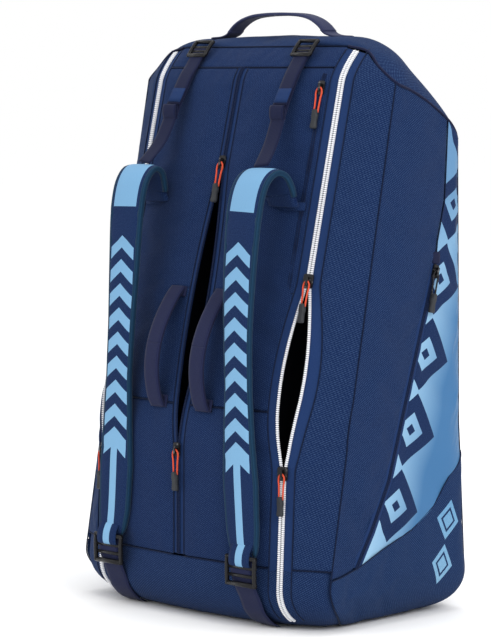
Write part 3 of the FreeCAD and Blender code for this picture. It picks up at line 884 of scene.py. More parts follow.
def make_sides():
    for name, sign in SIDES:
        def surface(q, z):
            return wall(sign, q, z)

        def domain(u, v):
            z0 = lerp(60, 690, v)
            q = lerp(side_seam_y(z0), pocket_y(z0), u)
            for _ in range(4):
                z = lerp(guard_z(q), roof_side_z(q), v)
                q = lerp(side_seam_y(z), pocket_y(z) - pocket_gap(z, 6), u)
            return q, z
        panel("side_panel_%s_cloth" % name, domain, surface, (16, 80), SHELL,
              ["side_panel_" + name], seed=sign * 7.0, cap=7.0, slack=0.012, pressure=1.6)

        foot = GUARD_BACK_Z - 2
        south = smooth_line([(pocket_y(POCKET_TIP_Z) + 4, POCKET_TIP_Z)] + [(q, z - 4) for q, z in GUARD_LINE[3:-1]]
                            + [(corner_q(GUARD_BACK_Z), foot)])
        north = smooth_line([(113, 650), (140, 629), (corner_q(ROOF_BACK_Z), ROOF_BACK_Z)])
        heights = (POCKET_TIP_Z, 100, 127, 158, 188, 327, POCKET_ZIP_TOP, 475, 492, 545, 650)
        west = sharp_line([(pocket_y(z) + pocket_gap(z, 4), z) for z in heights])
        east = sharp_line([(corner_q(z), z) for z in (foot, 420, ROOF_BACK_Z)])
        fill = coons(south, north, west, east)
        panel("side_pocket_%s_cloth" % name, fill, surface, (18, 80), POCKET,
              ["side_pocket_" + name], seed=sign * 9.0, cap=6.0, slack=0.008, pressure=1.8)

        def guard_domain(u, v):
            end = corner_q(120) + 6
            q = lerp(side_seam_y(40), end, u)
            for _ in range(6):
                z = lerp(1.0, guard_z(q), v)
                q = lerp(side_seam_y(z) + 1, end, u)
            return q, z
        panel("base_guard_%s_cloth" % name, guard_domain, surface, (34, 22), GUARD,
              ["base_guard_" + name], lift=1.2, cap=3.0, thickness=2.4, seed=sign * 11.0, uneven=0.6)


def make_back():
    def domain(u, v):
        z = lerp(BASE_SEAM, ROOF_BACK_Z, v)
        edge = HALF_WIDTH - BACK_CORNER * (1 - cos(CORNER_SHARE))
        return lerp(-edge, edge, u), z

    def back(x, z):
        y = along(BACK_LINE, z)
        flat = HALF_WIDTH - BACK_CORNER
        over = max(abs(x) - flat, 0)
        return Vector((x, y - BACK_CORNER + sqrt(max(BACK_CORNER**2 - over**2, 0)), z))

    panel("back_panel_cloth", domain, back, (52, 60), SHELL, ["back_panel"], cap=8.0,
          slack=0.01, pressure=1.4, seed=21.0, uneven=2.5)


ROOF_ROWS = (  # edge point of the roof's right side, then y and z at its middle
    ((153, 5, 745), (-8, 745)), ((183, 9.5, 738), (2, 753)), ((205, 7, 718), (15, 757)),
    ((230, 12, 698), (32, 758)), ((230, 38, 689), (52, 757)), ((230, 60, 680), (70, 747)),
    ((230, 85, 667), (95, 724)), ((230, 113, 650), (122, 694)), ((227, 130, 636), (140, 664)),
    ((220, 143, 624), (150.5, 624)))
ROOF_CLOTH = (0.23, 0.26)  # metres of cloth from the roof's middle to its edge, and from front to back
ROOF_SHAPE = ((0, 1), (0.55, 0.995), (0.7, 0.95), (0.79, 0.83), (0.874, 0.62), (0.952, 0.33), (1, 0))


def make_roof():
    edge = smooth_line([row[0] for row in ROOF_ROWS])
    middle = smooth_line([(0,) + row[1] for row in ROOF_ROWS])
    shape = smooth_line([(u, s, 0) for u, s in ROOF_SHAPE])

    def share(u):
        lo, hi = 0.0, 1.0
        for _ in range(24):
            mid = (lo + hi) / 2
            if shape(mid).x < u:
                lo = mid
            else:
                hi = mid
        return shape(lo).y

    def surface(a, b):
        e = edge(b)
        m = middle(b)
        u = min(abs(a), 1.0)
        s = share(u)
        y = lerp(e.y, m.y, s)
        if b < 1e-6:
            y = front(e.x * u, ROOF_FRONT_Z).y
        return Vector((e.x * a, y, lerp(e.z, m.z, s)))

    def domain(u, v):
        return lerp(-1, 1, u), v

    obj = grid("roof_cloth", domain, surface, 56, 30)
    mesh = obj.data
    layer = mesh.uv_layers["UVMap"]
    for loop in mesh.loops:
        u, v = layer.data[loop.index].uv
        layer.data[loop.index].uv = (u / MM * ROOF_CLOTH[0], v / MM * ROOF_CLOTH[1])
    edge_points = boundary_vertices(mesh)
    relax(obj, edge_points, 1.0, 4.0, 0.006)
    ripple(obj, 1.6, 70.0, 31.0, edge_points)
    shell(obj, 3.2)
    dress(obj, SHELL, nodes=["roof_panel"])


def base_ring(z, n):
    """Outline of the base at height z, starting at the middle of the strap face."""
    half = [front(HALF_WIDTH * k / 24 * (1 - base_inset(z) / HALF_WIDTH), z) for k in range(25)]
    q0 = side_seam_y(z)
    q1 = along(BACK_LINE, z) - BACK_CORNER + BACK_CORNER * pi / 2 + HALF_WIDTH - BACK_CORNER
    half += [wall(1, lerp(q0, q1, k / 48), z) for k in range(1, 49)]
    path = sharp_line([(p.x, p.y, z) for p in half])
    right = sampled(path, n)
    left = [Vector((-p.x, p.y, p.z)) for p in right[-2:0:-1]]
    ring = right + left
    for _ in range(2):
        ring = [(ring[k - 1] + ring[k] * 2 + ring[(k + 1) % len(ring)]) / 4 for k in range(len(ring))]
    return ring


def make_base():
    """Base panel: the strap face's foot, the round edge, the underside and the foot of the back."""
    heights = (BASE_SEAM, 74, 64, 55, 44, 34, 25, 17, 10, 5, 1.5, 0)
    rings = [base_ring(z, 64) for z in heights]
    n = len(rings[0])
    for ring in rings:
        for p in ring:
            # beside the base guards the cloth is drawn in a little, so that the guards lie over it
            behind = min(max((p.y - side_seam_y(p.z) - 4) / 14, 0), 1) * min(max((130 - p.y) / 20, 0), 1)
            if abs(p.x) > 150:
                p.x -= (3.5 if p.x > 0 else -3.5) * behind * min(p.z / 30, 1)
    centre = Vector((0, 10, 0))
    for scale in (0.9, 0.75, 0.55, 0.35, 0.15):
        rings.append([centre + (p - centre) * scale for p in rings[len(heights) - 1]])
    verts = [p for ring in rings for p in ring] + [centre]
    faces = ring_faces(len(rings), n)
    last = (len(rings) - 1) * n
    faces += [(last + k, last + (k + 1) % n, len(verts) - 1) for k in range(n)]
    pace = sum((b - a).length for a, b in zip(rings[0], rings[0][1:])) / (n - 1)
    uvs = []
    depth = 0.0
    for i, ring in enumerate(rings):
        depth -= (ring[0] - rings[max(i - 1, 0)][0]).length
        uvs += [((k + n / 2) % n * pace * MM, (BASE_SEAM + depth) * MM) for k in range(n)]
    uvs.append(uvs[-1])
    obj = new_object("base_cloth", verts, faces, uvs)
    point_out(obj)
    shell(obj, 3.2, 1)
    dress(obj, SHELL, nodes=["base_panel"])


# ---- seams ----
SEAM_RADIUS = 0.8
PIPING_RADIUS = 1.6


def seam(surface, points, lift, radius=SEAM_RADIUS):
    """Thin cord in a seam through drawing coordinates on a surface."""
    return cord_tube("seam", [surface(p, q) + normal_of(surface, p, q) * lift for p, q in points], radius, 6)


def make_seams():
    cords = []
    inner, outer = ZIP_X - OUTER_BAND, ZIP_X + OUTER_BAND

    def sew(surface, corners, count, lift):
        cords.append(seam(surface, sampled(sharp_line(corners), count), lift))

    def sew_up(surface, place, z0, z1, count, radius):
        heights = [lerp(z0, z1, k / count) for k in range(count + 1)]
        cords.append(seam(surface, [(place(z), z) for z in heights], 0.1, radius))

    for name, sign in SIDES:
        def side(q, z):
            return wall(sign, q, z)

        sew_up(side, side_seam_y, 1.5, 700, 150, SEAM_RADIUS * 1.1)
        sew(side, [(side_seam_y(70), 70), *GUARD_LINE[1:-1], (corner_q(GUARD_BACK_Z), GUARD_BACK_Z)], 90, 0.9)
        sew(side, [(pocket_y(z), z) for z in (470, 492, 545, 650)], 40, 0.0)
        sew(side, [(corner_q(z), z) for z in (4, 60, 120, GUARD_BACK_Z, 420, ROOF_BACK_Z)], 120, 0.2)
        rows = [(outer, HALF_WIDTH, BASE_SEAM, 12), (CENTRE_BAND, inner, BASE_SEAM, 30)]
        rows += [(centre_edge(z), face_edge(z), z, 30) for z in (MID_SEAM, HANDLE_SEAM)]
        rows.append((0.0, face_edge(YOKE_SEAM), YOKE_SEAM, 30))
        for x0, x1, z, count in rows:
            sew(front, ((sign * x0, z), (sign * x1, z)), count, -0.2)
        for edge in (-1, 1):
            def beside_outer(z):
                return sign * (ZIP_X + edge * (OUTER_BAND + mouth_gap(z, OUTER_MOUTH) + 0.2))
            sew_up(front, beside_outer, 14, 741, 150, SEAM_RADIUS * 0.8)

        def beside_centre(z):
            return sign * (CENTRE_BAND - 0.6 + mouth_gap(z, CENTRE_MOUTH))
        sew_up(front, beside_centre, BASE_SEAM + 2, YOKE_SEAM - 2, 80, SEAM_RADIUS * 0.8)
    sew(front, ((-inner, ROOF_FRONT_Z), (inner, ROOF_FRONT_Z)), 60, 0.2)
    dress(join("seam_lines", cords), SEAM)
    edge = smooth_line([row[0] for row in ROOF_ROWS])
    pipes = []
    for name, sign in SIDES:
        pipes.append(cord_tube("pipe", mirrored(sampled(edge, 100), sign), PIPING_RADIUS))
    dress(join("roof_piping", pipes), DARK_WEBBING)


# ---- zips ----
TOOTH_DEPTH = 2.4


def tooth(length, pitch, depth):
    """Corners of one moulded tooth: x outwards from the zip's line, y along it, z out of the cloth."""
    w = pitch * 0.36
    nose = w * 0.75
    ring = [(0.15, -nose), (0.15, nose), (length * 0.5, w), (length, w * 0.85), (length, -w * 0.85),
            (length * 0.5, -w)]
    low = [(x, y, -depth / 2) for x, y in ring]
    high = [(lerp(x, length / 2, 0.14), y * 0.72, depth / 2) for x, y in ring]
    return low + high


TOOTH_FACES = closed_faces(2, 6)


def teeth(name, frames, length, pitch, depth):
    """A row of teeth on (point, outwards, along, normal) frames."""
    verts, faces, uvs = [], [], []
    corners = tooth(length, pitch, depth)
    for point, side, run, out in frames:
        start = len(verts)
        for x, y, z in corners:
            verts.append(point + side * x + run * y + out * z)
            uvs.append((x * MM, y * MM))
        faces += [tuple(start + k for k in face) for face in TOOTH_FACES]
    obj = new_object(name, verts, faces, uvs)
    flat_shaded(obj)
    return fix_normals(obj)


def zip_frames(surface, line, side, pitch, shift, sink):
    """Even places along one edge of a zip; line gives its drawing coordinates at 0 to 1."""
    samples = 400
    points = [surface(*line(k / samples)) for k in range(samples + 1)]
    lengths = running_lengths(points)
    frames = []
    at = pitch / 2 + shift
    k = 0
    while at < lengths[-1] - pitch / 2:
        while lengths[k + 1] < at:
            k += 1
        t = (k + (at - lengths[k]) / (lengths[k + 1] - lengths[k])) / samples
        p, q = line(t)
        out = normal_of(surface, p, q)
        run = (points[k + 1] - points[k]).normalized()
        across = run.cross(out).normalized() * side
        frames.append((surface(p, q) - out * sink, across, run, out))
        at += pitch
    return frames


def zip_row(name, surface, line, side, pitch, length, shift):
    """One row of teeth; side +1 or -1 is the row's way from the zip's line."""
    return teeth(name, zip_frames(surface, line, side, pitch, shift, -0.6), length, pitch, TOOTH_DEPTH)


def strip(name, surface, edges, steps, lift, thickness, cells=3):
    """Flat strip between two edges, each a function of 0 to 1 in drawing coordinates."""
    low, high = edges

    def domain(u, v):
        a, b = low(v), high(v)
        return lerp(a[0], b[0], u), lerp(a[1], b[1], u)

    obj = grid(name, domain, surface, cells, steps, lift=lift)
    shell(obj, thickness, 1)
    return obj


def upright_zip(name, sign, x, z0, head, mouth, band, half, pitch, look, node):
    """A zip that runs up the strap face to head(x), with open lips over its mouth."""
    teeth_look, core_look = look
    rows, cores, tapes = [], [], []
    for side in (-1, 1):
        def edge(away):
            def at(t):
                z = lerp(z0, head(x + side * away), t)
                return sign * (x + side * (away + (mouth_gap(z, mouth) if mouth else 0.0))), z
            return at

        steps = int((head(x) - z0) / 8)
        inner = edge(0.25)
        rows.append(zip_row("row", front, inner, side * sign, pitch, half, 0.0 if side > 0 else pitch / 2))
        cores.append(strip("core", front, (edge(0.7), edge(half)), steps, 0.7, 1.6, 2))
        tapes.append(strip("tape", front, (edge(1.0), edge(band + 1.5)), steps, -0.9, 1.0, 4))
    dress(join(name + "_teeth", rows), teeth_look, nodes=[node])
    dress(join(name + "_bead", cores), core_look)
    dress(join(name + "_tape", tapes), TAPE)


def make_zips():
    def outer_head(x):
        return along(((ZIP_BAND[0], 744), (ZIP_BAND[1], 736)), x)

    navy = (NAVY_TEETH, NAVY_TEETH)
    for name, sign in SIDES:
        upright_zip(name + "_zip_cloth", sign, ZIP_X, 12.0, outer_head, OUTER_MOUTH, OUTER_BAND, 3.7, 2.7,
                    (WHITE_TEETH, GREY_CORE), name + "_zip")
        side_pocket_zip(name, sign)
    upright_zip("centre_zip_cloth", 1, 0.0, BASE_SEAM + 2, lambda x: YOKE_SEAM + 0.8, CENTRE_MOUTH,
                CENTRE_BAND, 2.8, 1.9, navy, "centre_zip")
    upright_zip("accessory_zip_cloth", 1, ACCESSORY_X, ACCESSORY_SPAN[0], lambda x: ACCESSORY_SPAN[1], None,
                SMALL_BAND - 1, 2.6, 1.9, navy, "accessory_zip")


def side_pocket_zip(name, sign):
    """Side pocket zip, on its slanted line."""
    def surface(q, z):
        return wall(sign, q, z)

    heights = (80, 100, 127, 158, 188, 240, 300, 360, 420, POCKET_ZIP_TOP)
    path = sharp_line([(pocket_y(z) - 1, z) for z in heights])

    def shifted(by):
        def at(t):
            run = (path(min(t + 0.01, 1)) - path(max(t - 0.01, 0))).normalized()
            p = path(t)
            return p.x + run.y * by, p.y - run.x * by
        return at

    rows, cores, tapes = [], [], []
    for side in (-1, 1):
        inner = shifted(side * 0.25)
        rows.append(zip_row("row", surface, inner, side * sign, 1.9, 2.6, 0.0 if side > 0 else 0.95))
        cores.append(strip("core", surface, (shifted(side * 0.7), shifted(side * 2.8)), 60, 0.9, 1.6, 2))
        tapes.append(strip("tape", surface, (inner, shifted(side * 8.0)), 60, 0.3, 1.4, 3))
    dress(join(name + "_pocket_zip_teeth", rows), NAVY_TEETH, nodes=[name + "_pocket_zip"])
    dress(join(name + "_pocket_zip_bead", cores), NAVY_TEETH)
    dress(join(name + "_pocket_zip_tape", tapes), TAPE)

    def tack_edge(away):
        return lambda t: (pocket_y(470) + away, lerp(463, 479, t))

    tack = strip(name + "_pocket_tack", surface, (tack_edge(-8), tack_edge(7)), 4, 1.4, 1.2)
    dress(tack, DARK_WEBBING)


# ---- sliders' pulls ----
PULL_BODIES = ("left_zip_upper_pull", "left_zip_lower_pull", "right_zip_upper_pull", "right_zip_lower_pull",
               "centre_zip_upper_pull", "centre_zip_lower_pull", "accessory_zip_pull", "left_pocket_pull",
               "right_pocket_pull")


def pull_frame(node):
    """Middle of a CAD pull's top and of its foot."""
    points = [v.co / MM for v in NODES[node].data.vertices]
    high = max(p.z for p in points)
    low = min(p.z for p in points)

    def middle(chosen):
        spread = [(min(p[k] for p in chosen) + max(p[k] for p in chosen)) / 2 for k in range(3)]
        return Vector(spread)

    return middle([p for p in points if p.z > high - 2]), middle([p for p in points if p.z < low + 2])


def loop_path(top, down, side, length, width):
    """Closed cord loop: two strands held together near the tab and spread over the slider's bail."""
    shape = ((0.0, 0.0), (0.5, 1.0), (1.1, 4.0), (1.25, 9.0), (1.0, 16.0), (0.8, length))
    right = [top + down * d + side * (w * width / 2) for w, d in shape]
    left = [top + down * d - side * (w * width / 2) for w, d in shape]
    path = smooth_line(list(reversed(left)) + right[1:])
    return sampled(path, 40)


TAB_LENGTH = 25.0
TAB_PROFILE = (  # share of the tab's length, width, thickness
    (0.0, 5.2, 4.2), (0.03, 6.8, 5.4), (0.1, 7.6, 5.8), (0.22, 7.8, 5.4), (0.3, 9.4, 4.8), (0.38, 9.8, 4.6),
    (0.48, 8.4, 4.2), (0.6, 8.2, 4.0), (0.75, 9.4, 4.0), (0.88, 10.2, 4.2), (0.96, 9.6, 4.0), (1.0, 7.8, 2.8))
TAB_RING = ((-1, 0.45), (-0.72, 1), (0.72, 1), (1, 0.45), (1, -0.45), (0.72, -1), (-0.72, -1), (-1, -0.45))
TAB_FRONT, TAB_BACK = 0.85, 0.45  # share of the thickness before and behind the tab's middle
CORD_RADIUS = 1.15
CORD_OVERLAP = 4.0  # length of cord inside the tab


def make_pull(name, node, body):
    """Two cords over the slider's bail and the moulded tab they end in."""
    top, foot = pull_frame(node)
    outward = Vector((0, -1, 0)) if abs(top.x) < 200 else Vector((1 if top.x > 0 else -1, 0, 0))
    down = (foot - top).normalized()
    side = down.cross(outward).normalized()
    outward = side.cross(down).normalized()
    cord_length = (foot - top).length - TAB_LENGTH + CORD_OVERLAP
    cord = cord_tube(name + "_cord", loop_path(top - down * 0.2, down, side, cord_length, 8.0), CORD_RADIUS)
    start = foot - down * TAB_LENGTH
    verts, uvs = [], []
    for share, w, t in TAB_PROFILE:
        centre = start + down * (share * TAB_LENGTH)
        for s, o in TAB_RING:
            verts.append(centre + side * (s * w / 2) + outward * (o * t * (TAB_FRONT if o > 0 else TAB_BACK)))
            uvs.append((s * w * MM, share * TAB_LENGTH * MM))
    faces = closed_faces(len(TAB_PROFILE), len(TAB_RING))
    tab = fix_normals(new_object(name + "_tab", verts, faces, uvs))
    bevel(tab, 0.5)
    apply_modifiers(tab)
    flat_shaded(tab)
    dress(cord, SLIDER if "pocket" in node else RED_CORD, body, nodes=[node])
    dress(tab, TAB, body)


def make_pulls():
    for node in PULL_BODIES:
        make_pull(node + "_look", node, body_of(NODES[node])[0])


# ---- shoulder straps ----
PAD_THICK = 13.0
PAD_LINE = (  # x, y, z of the right pad's middle from its foot up and over to its root, then its width
    (125, -157, 97, 44), (121, -156, 130, 54), (117, -156, 190, 58), (114, -156, 250, 50), (112, -155, 310, 44),
    (109, -153, 380, 46), (108, -149, 450, 52), (109, -143, 520, 57), (110, -136, 556, 58), (111, -126, 575, 58),
    (113, -112, 584, 58), (115, -98, 579, 58), (118, -91, 565, 57), (119, -88, 553, 56))
PAD_SECTION = (  # share of half width, share of half thickness, round one side of the pad
    (-1, 0), (-0.985, 0.30), (-0.94, 0.50), (-0.90, 0.56), (-0.84, 0.72), (-0.66, 0.92), (-0.36, 1.0), (0, 1.02),
    (0.36, 1.0), (0.66, 0.92), (0.84, 0.72), (0.90, 0.56), (0.94, 0.50), (0.985, 0.30), (1, 0))
BINDING = 7.0
QUILT_SEAMS = (214.0, 236.0, 489.0, 525.0)
QUILT_REACH = 6.0
QUILT_DEPTH = 1.6
LIFTER_LINE = ((97, -15, 743), (97.5, -30, 723), (98, -42, 706), (99.5, -63.5, 668), (103, -86, 622),
               (109, -111, 592))
LIFTER_WIDTH = 25.0
TAIL_LINE = ((97, -17, 744), (97, -32, 723), (98, -45, 706), (99, -67, 669))
ROLL = (99.9, -71.5, 660)
BELT_X = 126.0
BELT_START = ((125, -162, 92), (125, -163, 76), (125, -157, 58))
BELT_HEIGHTS = (40, 24, 12, 6, 3)
BELT_WIDTH = 38.0


def width_way(t, point, run):
    """Straps lie with their width across the bag."""
    return Vector((1, 0, 0))


def pad_path(sign):
    path = smooth_line(mirrored(PAD_LINE, sign))

    def width(t):
        point = path(t)
        if t < 0.8:
            w = along([(p[2], p[3]) for p in PAD_LINE[:8]], point.z)
        else:
            w = 58.0
        foot = min(t / 0.02, 1.0)
        return w * (0.86 + 0.14 * sqrt(foot))

    return sampled(path, 90), width


def make_pads():
    for name, sign in SIDES:
        points, width = pad_path(sign)
        lower = [(s, -o * 0.8) for s, o in PAD_SECTION[-2:0:-1]]
        ring = list(PAD_SECTION) + lower

        def thick(t):
            ends = min(t / 0.03, 1.0, (1.02 - t) / 0.05)
            return PAD_THICK * (0.45 + 0.5 * sqrt(max(ends, 0)))

        pad = tube("strap_pad_%s_cloth" % name, points, ring, width, thick, width_way)
        plain_back(pad, len(ring), len(PAD_SECTION) - 1)
        quilt(pad)
        smooth(pad, 1)
        body = "strap_" + name
        dress(pad, STRAP, body, nodes=["strap_pad_" + name])
        edges = []
        for way in (-1, 1):
            line = []
            for k, point in enumerate(points):
                t = k / (len(points) - 1)
                line.append(point + Vector((way * (width(t) / 2 - BINDING / 2 + 1.0), 0, 0)))
            section = [(c * abs(c) ** -0.4 if abs(c) > 1e-6 else 0.0, s) for c, s in round_ring(12)]
            edges.append(tube("binding", line, section, BINDING, lambda t: thick(t) * 0.66, width_way))
        dress(join("strap_binding_" + name, edges), GROSGRAIN, body)


def plain_back(pad, around, front_faces):
    """Moves the cloth coordinates of the pad's back clear of the print."""
    layer = pad.data.uv_layers.active
    for face in pad.data.polygons:
        if face.index % around >= front_faces:
            for loop in face.loop_indices:
                layer.data[loop].uv.x += 1.0


def quilt(pad):
    """Shallow cross seams pull the foam in at a few places."""
    for vertex in pad.data.vertices:
        z = vertex.co.z / MM
        if vertex.co.y / MM > -128:
            continue
        for height in QUILT_SEAMS:
            away = abs(z - height)
            if away < QUILT_REACH:
                vertex.co -= vertex.normal * (QUILT_DEPTH * MM * (1 - away / QUILT_REACH) ** 2)


def make_strap_roots():
    """Where the pads are sewn into the strap face."""
    pieces = []
    for name, sign in SIDES:
        root = mirrored([(119, -88, 556), (120, -84, 548), (120, -80, 541)], sign)
        path = smooth_line(root)
        pieces.append(ribbon("root", sampled(path, 8), 54.0, 8.0, width_way))
        line = [front(sign * x, 540) - Vector((0, 1.2, 0)) for x in (92, 106, 120, 134, 148)]
        pieces.append(ribbon("seam", line, 12.0, 2.4, lambda t, p, r: Vector((0, LEAN, 1))))
    dress(join("strap_roots_cloth", pieces), FACE, nodes=["strap_root_patches"])


def make_lifters():
    tails, rolls, keepers = [], [], []
    for name, sign in SIDES:
        path = smooth_line(mirrored(LIFTER_LINE, sign))
        strap = ribbon("lifter_%s_band" % name, sampled(path, 40), LIFTER_WIDTH, 1.8, width_way)
        bend(strap, DARK_WEBBING, "lifter_webbing_" + name, "strap_" + name,
             Vector((sign * 100, -66, 655)), Vector((sign * 108, -108, 597)))
        tail = smooth_line(mirrored(TAIL_LINE, sign))
        tails.append(ribbon("tail", sampled(tail, 24), LIFTER_WIDTH, 1.8, width_way))
        rolls.append(make_roll(sign))
        held = [tail(share) + Vector((0, -1.5, -0.5)) for share in (0.72, 0.8, 0.88, 0.95)]
        keepers.append(ribbon("keeper", held, LIFTER_WIDTH - 1, 1.0, width_way))
    dress(join("lifter_tails_band", tails + rolls), DARK_WEBBING, nodes=["lifter_tails"])
    dress(join("lifter_keepers", keepers), TAPE)


def make_roll(sign):
    """The tail's end, rolled up and held in its keeper."""
    centre = Vector((sign * ROLL[0], ROLL[1], ROLL[2]))
    turns = []
    for k in range(60):
        angle = k / 59 * 2 * pi * 2.6
        radius = 1.2 + 0.36 * angle / 2
        turns.append(centre + Vector((0, -sin(angle) * radius * 0.8, cos(angle) * radius * 2.5)))
    return ribbon("roll", turns, LIFTER_WIDTH, 1.2, width_way)


def bar(name, a, b, wide, thick, side):
    """Rounded bar from a to b."""
    half = [(-1, -0.4), (-1, 0.4), (-0.7, 0.88), (-0.3, 1), (0.3, 1), (0.7, 0.88)]
    ring = half + [(-s, -o) for s, o in half]
    return tube(name, [a, a.lerp(b, 0.5), b], ring, wide, thick, lambda t, p, r: side)


def ladder_lock(name, centre, up, out, width, height, thick, bars):
    """Ladder lock: two rails and its cross bars, given as (share of height, bar height, bar thickness, lift)."""
    up = up.normalized()
    side = up.cross(out).normalized()
    out = side.cross(up).normalized()
    rail = 5.0
    parts = []
    for way in (-1, 1):
        middle = centre + side * (way * (width / 2 - rail / 2))
        end = up * (height / 2 - 1.5)
        bulge = out * 0.8
        path = smooth_line([middle - end, middle - up * (height * 0.2) + bulge, middle + up * (height * 0.2) + bulge,
                            middle + end])
        parts.append(tube("rail", sampled(path, 10), round_ring(12), rail, thick, lambda t, p, r: side))
    for share, tall, deep, lift in bars:
        middle = centre + up * (height * share) + out * lift
        a = middle - side * (width / 2 - 1.2)
        b = middle + side * (width / 2 - 1.2)
        parts.append(bar("bar", a, b, tall, deep, up))
    return join(name, parts)


UPPER_BARS = ((0.43, 4.4, 5.0, 0), (0.05, 3.6, 3.6, 0.6), (-0.2, 3.2, 3.4, 0.2), (-0.44, 6.0, 4.6, 0.8))
LOWER_BARS = ((0.43, 5.2, 6.4, 0), (0.12, 4.4, 5.0, -0.3), (-0.15, 4.4, 5.0, -0.3), (-0.43, 6.0, 6.4, 0))


def make_buckles():
    uppers = []
    for name, sign in SIDES:
        uppers.append(ladder_lock("upper", Vector((sign * 97, -17, 743)), Vector((0, 0.85, 1)),
                                  Vector((0, -1, 0.85)), 36, 27, 5.5, UPPER_BARS))
        lock = ladder_lock("lower_buckle_%s_frame" % name, Vector((sign * 125, -163.5, 78)), Vector((0, 0, 1)),
                           Vector((0, -1, 0)), 54, 40, 6.5, LOWER_BARS)
        dress(lock, BUCKLE, "strap_" + name, nodes=["lower_buckle_" + name])
    dress(join("lifter_buckles_frames", uppers), BUCKLE, nodes=["lifter_buckles"])


def make_foot_loops():
    """The pads' printed webbing, folded over the lower buckles' upper bars."""
    for name, sign in SIDES:
        line = mirrored([(125, -158, 116), (125, -163.5, 108), (125, -166.6, 101), (125, -167.8, 94), (125, -167.6, 88),
                         (125, -165.4, 84.6), (125, -161.6, 85.6), (125, -159.2, 91), (125, -158, 100)], sign)
        path = smooth_line(line)
        loop = ribbon("strap_foot_" + name, sampled(path, 48), 37.0, 2.0, width_way)
        dress(loop, STRAP, "strap_" + name)


def make_belts():
    """Webbing from the lower buckles into the base."""
    for name, sign in SIDES:
        line = list(BELT_START)
        for z in BELT_HEIGHTS:
            point = front(BELT_X - BELT_WIDTH / 2, z)
            out = normal_of(front, BELT_X - BELT_WIDTH / 2, z)
            line.append((BELT_X, point.y + out.y * 1.8, max(z + out.z * 1.8, 1.2)))
        path = smooth_line(mirrored(line, sign))
        belt = ribbon("lower_webbing_%s_band" % name, sampled(path, 48), BELT_WIDTH, 2.0, width_way)
        bend(belt, WEBBING, "lower_webbing_" + name, "strap_" + name,
             Vector((sign * 126, -135, 18)), Vector((sign * 125, -160, 62)))


# ---- handles ----
HANDLE_X = 92.0
HANDLE_Y = 38.0
HANDLE_WIDTH = 28.0
HANDLE_FOOT = 18.0
HANDLE_THICK = 6.0
CARRY_X = 42.0
CARRY_Z = (276.0, 430.0)
CARRY_BOW = 27.0
CARRY_WIDTH = 28.0
BEND_SHARE = 0.2
# shares of the top handle's reach and rise, from its middle out
HANDLE_ARCH = ((0, 1), (0.25, 0.985), (0.5, 0.92), (0.7, 0.76), (0.85, 0.52), (0.96, 0.24))


def bending_band(name, path, width, across, material, body):
    """A handle's webbing as two halves, each held still at its foot and carried by its body from BEND_SHARE on."""
    for half, foot in (("first", 0.0), ("second", 1.0)):
        line = [path(abs(foot - k / 80)) for k in range(41)]
        band = ribbon("%s_%s_half" % (name, half), line, width, HANDLE_THICK - 1.6, across)
        bend(band, material, name, body, line[0], path(abs(foot - BEND_SHARE)))


def depth_way(t, point, run):
    """The top handle lies with its width from front to back."""
    return Vector((0, 1, 0))


def make_top_handle():
    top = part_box("top_handle")[1].z / MM
    rise = top - HANDLE_THICK / 2 - HEIGHT - HANDLE_FOOT
    full = HANDLE_FOOT + rise - 0.5
    half = [(x * HANDLE_X, HANDLE_Y, HEIGHT + full * share) for x, share in HANDLE_ARCH]
    path = smooth_line([(-x, y, z) for x, y, z in half[::-1]] + half[1:])
    bending_band("top_handle", path, HANDLE_WIDTH, depth_way, TOP_WEBBING, "top_handle")
    patches = []
    for sign in (-1, 1):
        profile = ((120, 0.6), (104, 1.6), (92, 4.6), (84, 10))
        line = smooth_line([(sign * x, HANDLE_Y, HEIGHT + rise) for x, rise in profile])
        patches.append(ribbon("patch", sampled(line, 16), HANDLE_WIDTH, 3.0, depth_way))
    dress(join("top_handle_feet", patches), TOP_WEBBING, nodes=["top_handle_anchors"])


def make_carry_handles():
    feet = []
    for name, sign in SIDES:
        points = []
        for k in range(21):
            z = lerp(*CARRY_Z, k / 20)
            out = 3.6 + CARRY_BOW * max(sin(pi * k / 20), 0) ** 0.8
            points.append((sign * CARRY_X, front(CARRY_X, z).y - out, z))
        path = smooth_line(points)
        bending_band("carry_handle_" + name, path, CARRY_WIDTH, width_way, WEBBING, "carry_handle_" + name)
        for z0, z1 in ((CARRY_Z[0] - 2, CARRY_Z[0] + 14), (CARRY_Z[1] - 12, CARRY_Z[1] + 1)):
            heights = [lerp(z0, z1, k / 6) for k in range(7)]
            line = [Vector((sign * CARRY_X, front(CARRY_X, z).y - 2.6, z)) for z in heights]
            feet.append(ribbon("foot", line, CARRY_WIDTH + 2, 3.2, width_way))
    dress(join("carry_handle_feet", feet), WEBBING, nodes=["carry_handle_anchors"])


# ---- CAD nodes that are shown as they are ----
def finish_cad_nodes():
    kept = {"slider": SLIDER, "divider": LINING, "pocket_lining": LINING, "base_board": BOARD}
    for name, obj in NODES.items():
        for word, material in kept.items():
            if word in name:
                obj.data.materials.clear()
                obj.data.materials.append(material)
        if "slider" in name:
            bevel(obj, 0.45)


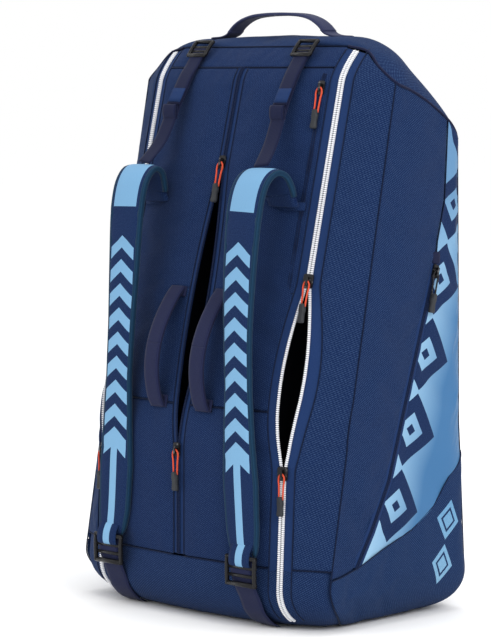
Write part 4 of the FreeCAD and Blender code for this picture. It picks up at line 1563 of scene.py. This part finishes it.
# ---- studio ----
CAMERA_AZIMUTH = 44.6
CAMERA_ELEVATION = 5.0
CAMERA_DISTANCE = 3.754
CAMERA_LENS = 157.4
CAMERA_SHIFT = -0.0245
TARGET = Vector((0, 0, 0.38))


def make_camera():
    az, el = radians(CAMERA_AZIMUTH), radians(CAMERA_ELEVATION)
    back = Vector((sin(az) * cos(el), -cos(az) * cos(el), sin(el)))
    data = bpy.data.cameras.new("camera")
    data.sensor_fit = "VERTICAL"
    data.sensor_height = 36
    data.lens = CAMERA_LENS
    data.shift_x = CAMERA_SHIFT
    data.clip_end = 100
    camera = linked("camera", data)
    camera.location = TARGET + back * CAMERA_DISTANCE
    camera.rotation_euler = back.to_track_quat("Z", "Y").to_euler()
    bpy.context.scene.camera = camera


def area_light(name, place, size, power):
    data = bpy.data.lights.new(name, "AREA")
    data.shape = "DISK"
    data.size = size
    data.energy = power
    light = linked(name, data)
    light.location = place
    light.rotation_euler = (Vector(place) - TARGET).to_track_quat("Z", "Y").to_euler()


def make_studio():
    mesh = bpy.data.meshes.new("floor")
    reach = 40
    mesh.from_pydata([(-reach, -reach, 0), (reach, -reach, 0), (reach, reach, 0), (-reach, reach, 0)], [],
                     [(0, 1, 2, 3)])
    floor = linked("floor", mesh)
    paper = Shader("paper")
    paper.finish(rgb(1.0, 1.0, 1.0), 0.9, gloss=0.0)
    mesh.materials.append(paper.material)
    world = bpy.data.worlds.new("studio")
    world.use_nodes = True
    background = world.node_tree.nodes["Background"].inputs
    background["Color"].default_value = (1, 1, 1, 1)
    background["Strength"].default_value = 1.0
    bpy.context.scene.world = world
    area_light("key", (3.2, -1.2, 2.4), 2.0, 56)
    area_light("fill", (-1.4, -3.4, 2.0), 2.4, 20)
    area_light("top", (0, 0.4, 3.4), 2.4, 30)
    bpy.context.scene.view_settings.view_transform = "Standard"


make_strap_faces()
make_yoke()
make_gussets()
make_sides()
make_back()
make_roof()
make_base()
make_seams()
make_zips()
make_pulls()
make_pads()
make_strap_roots()
make_lifters()
make_buckles()
make_foot_loops()
make_belts()
make_top_handle()
make_carry_handles()
finish_cad_nodes()
make_camera()
make_studio()
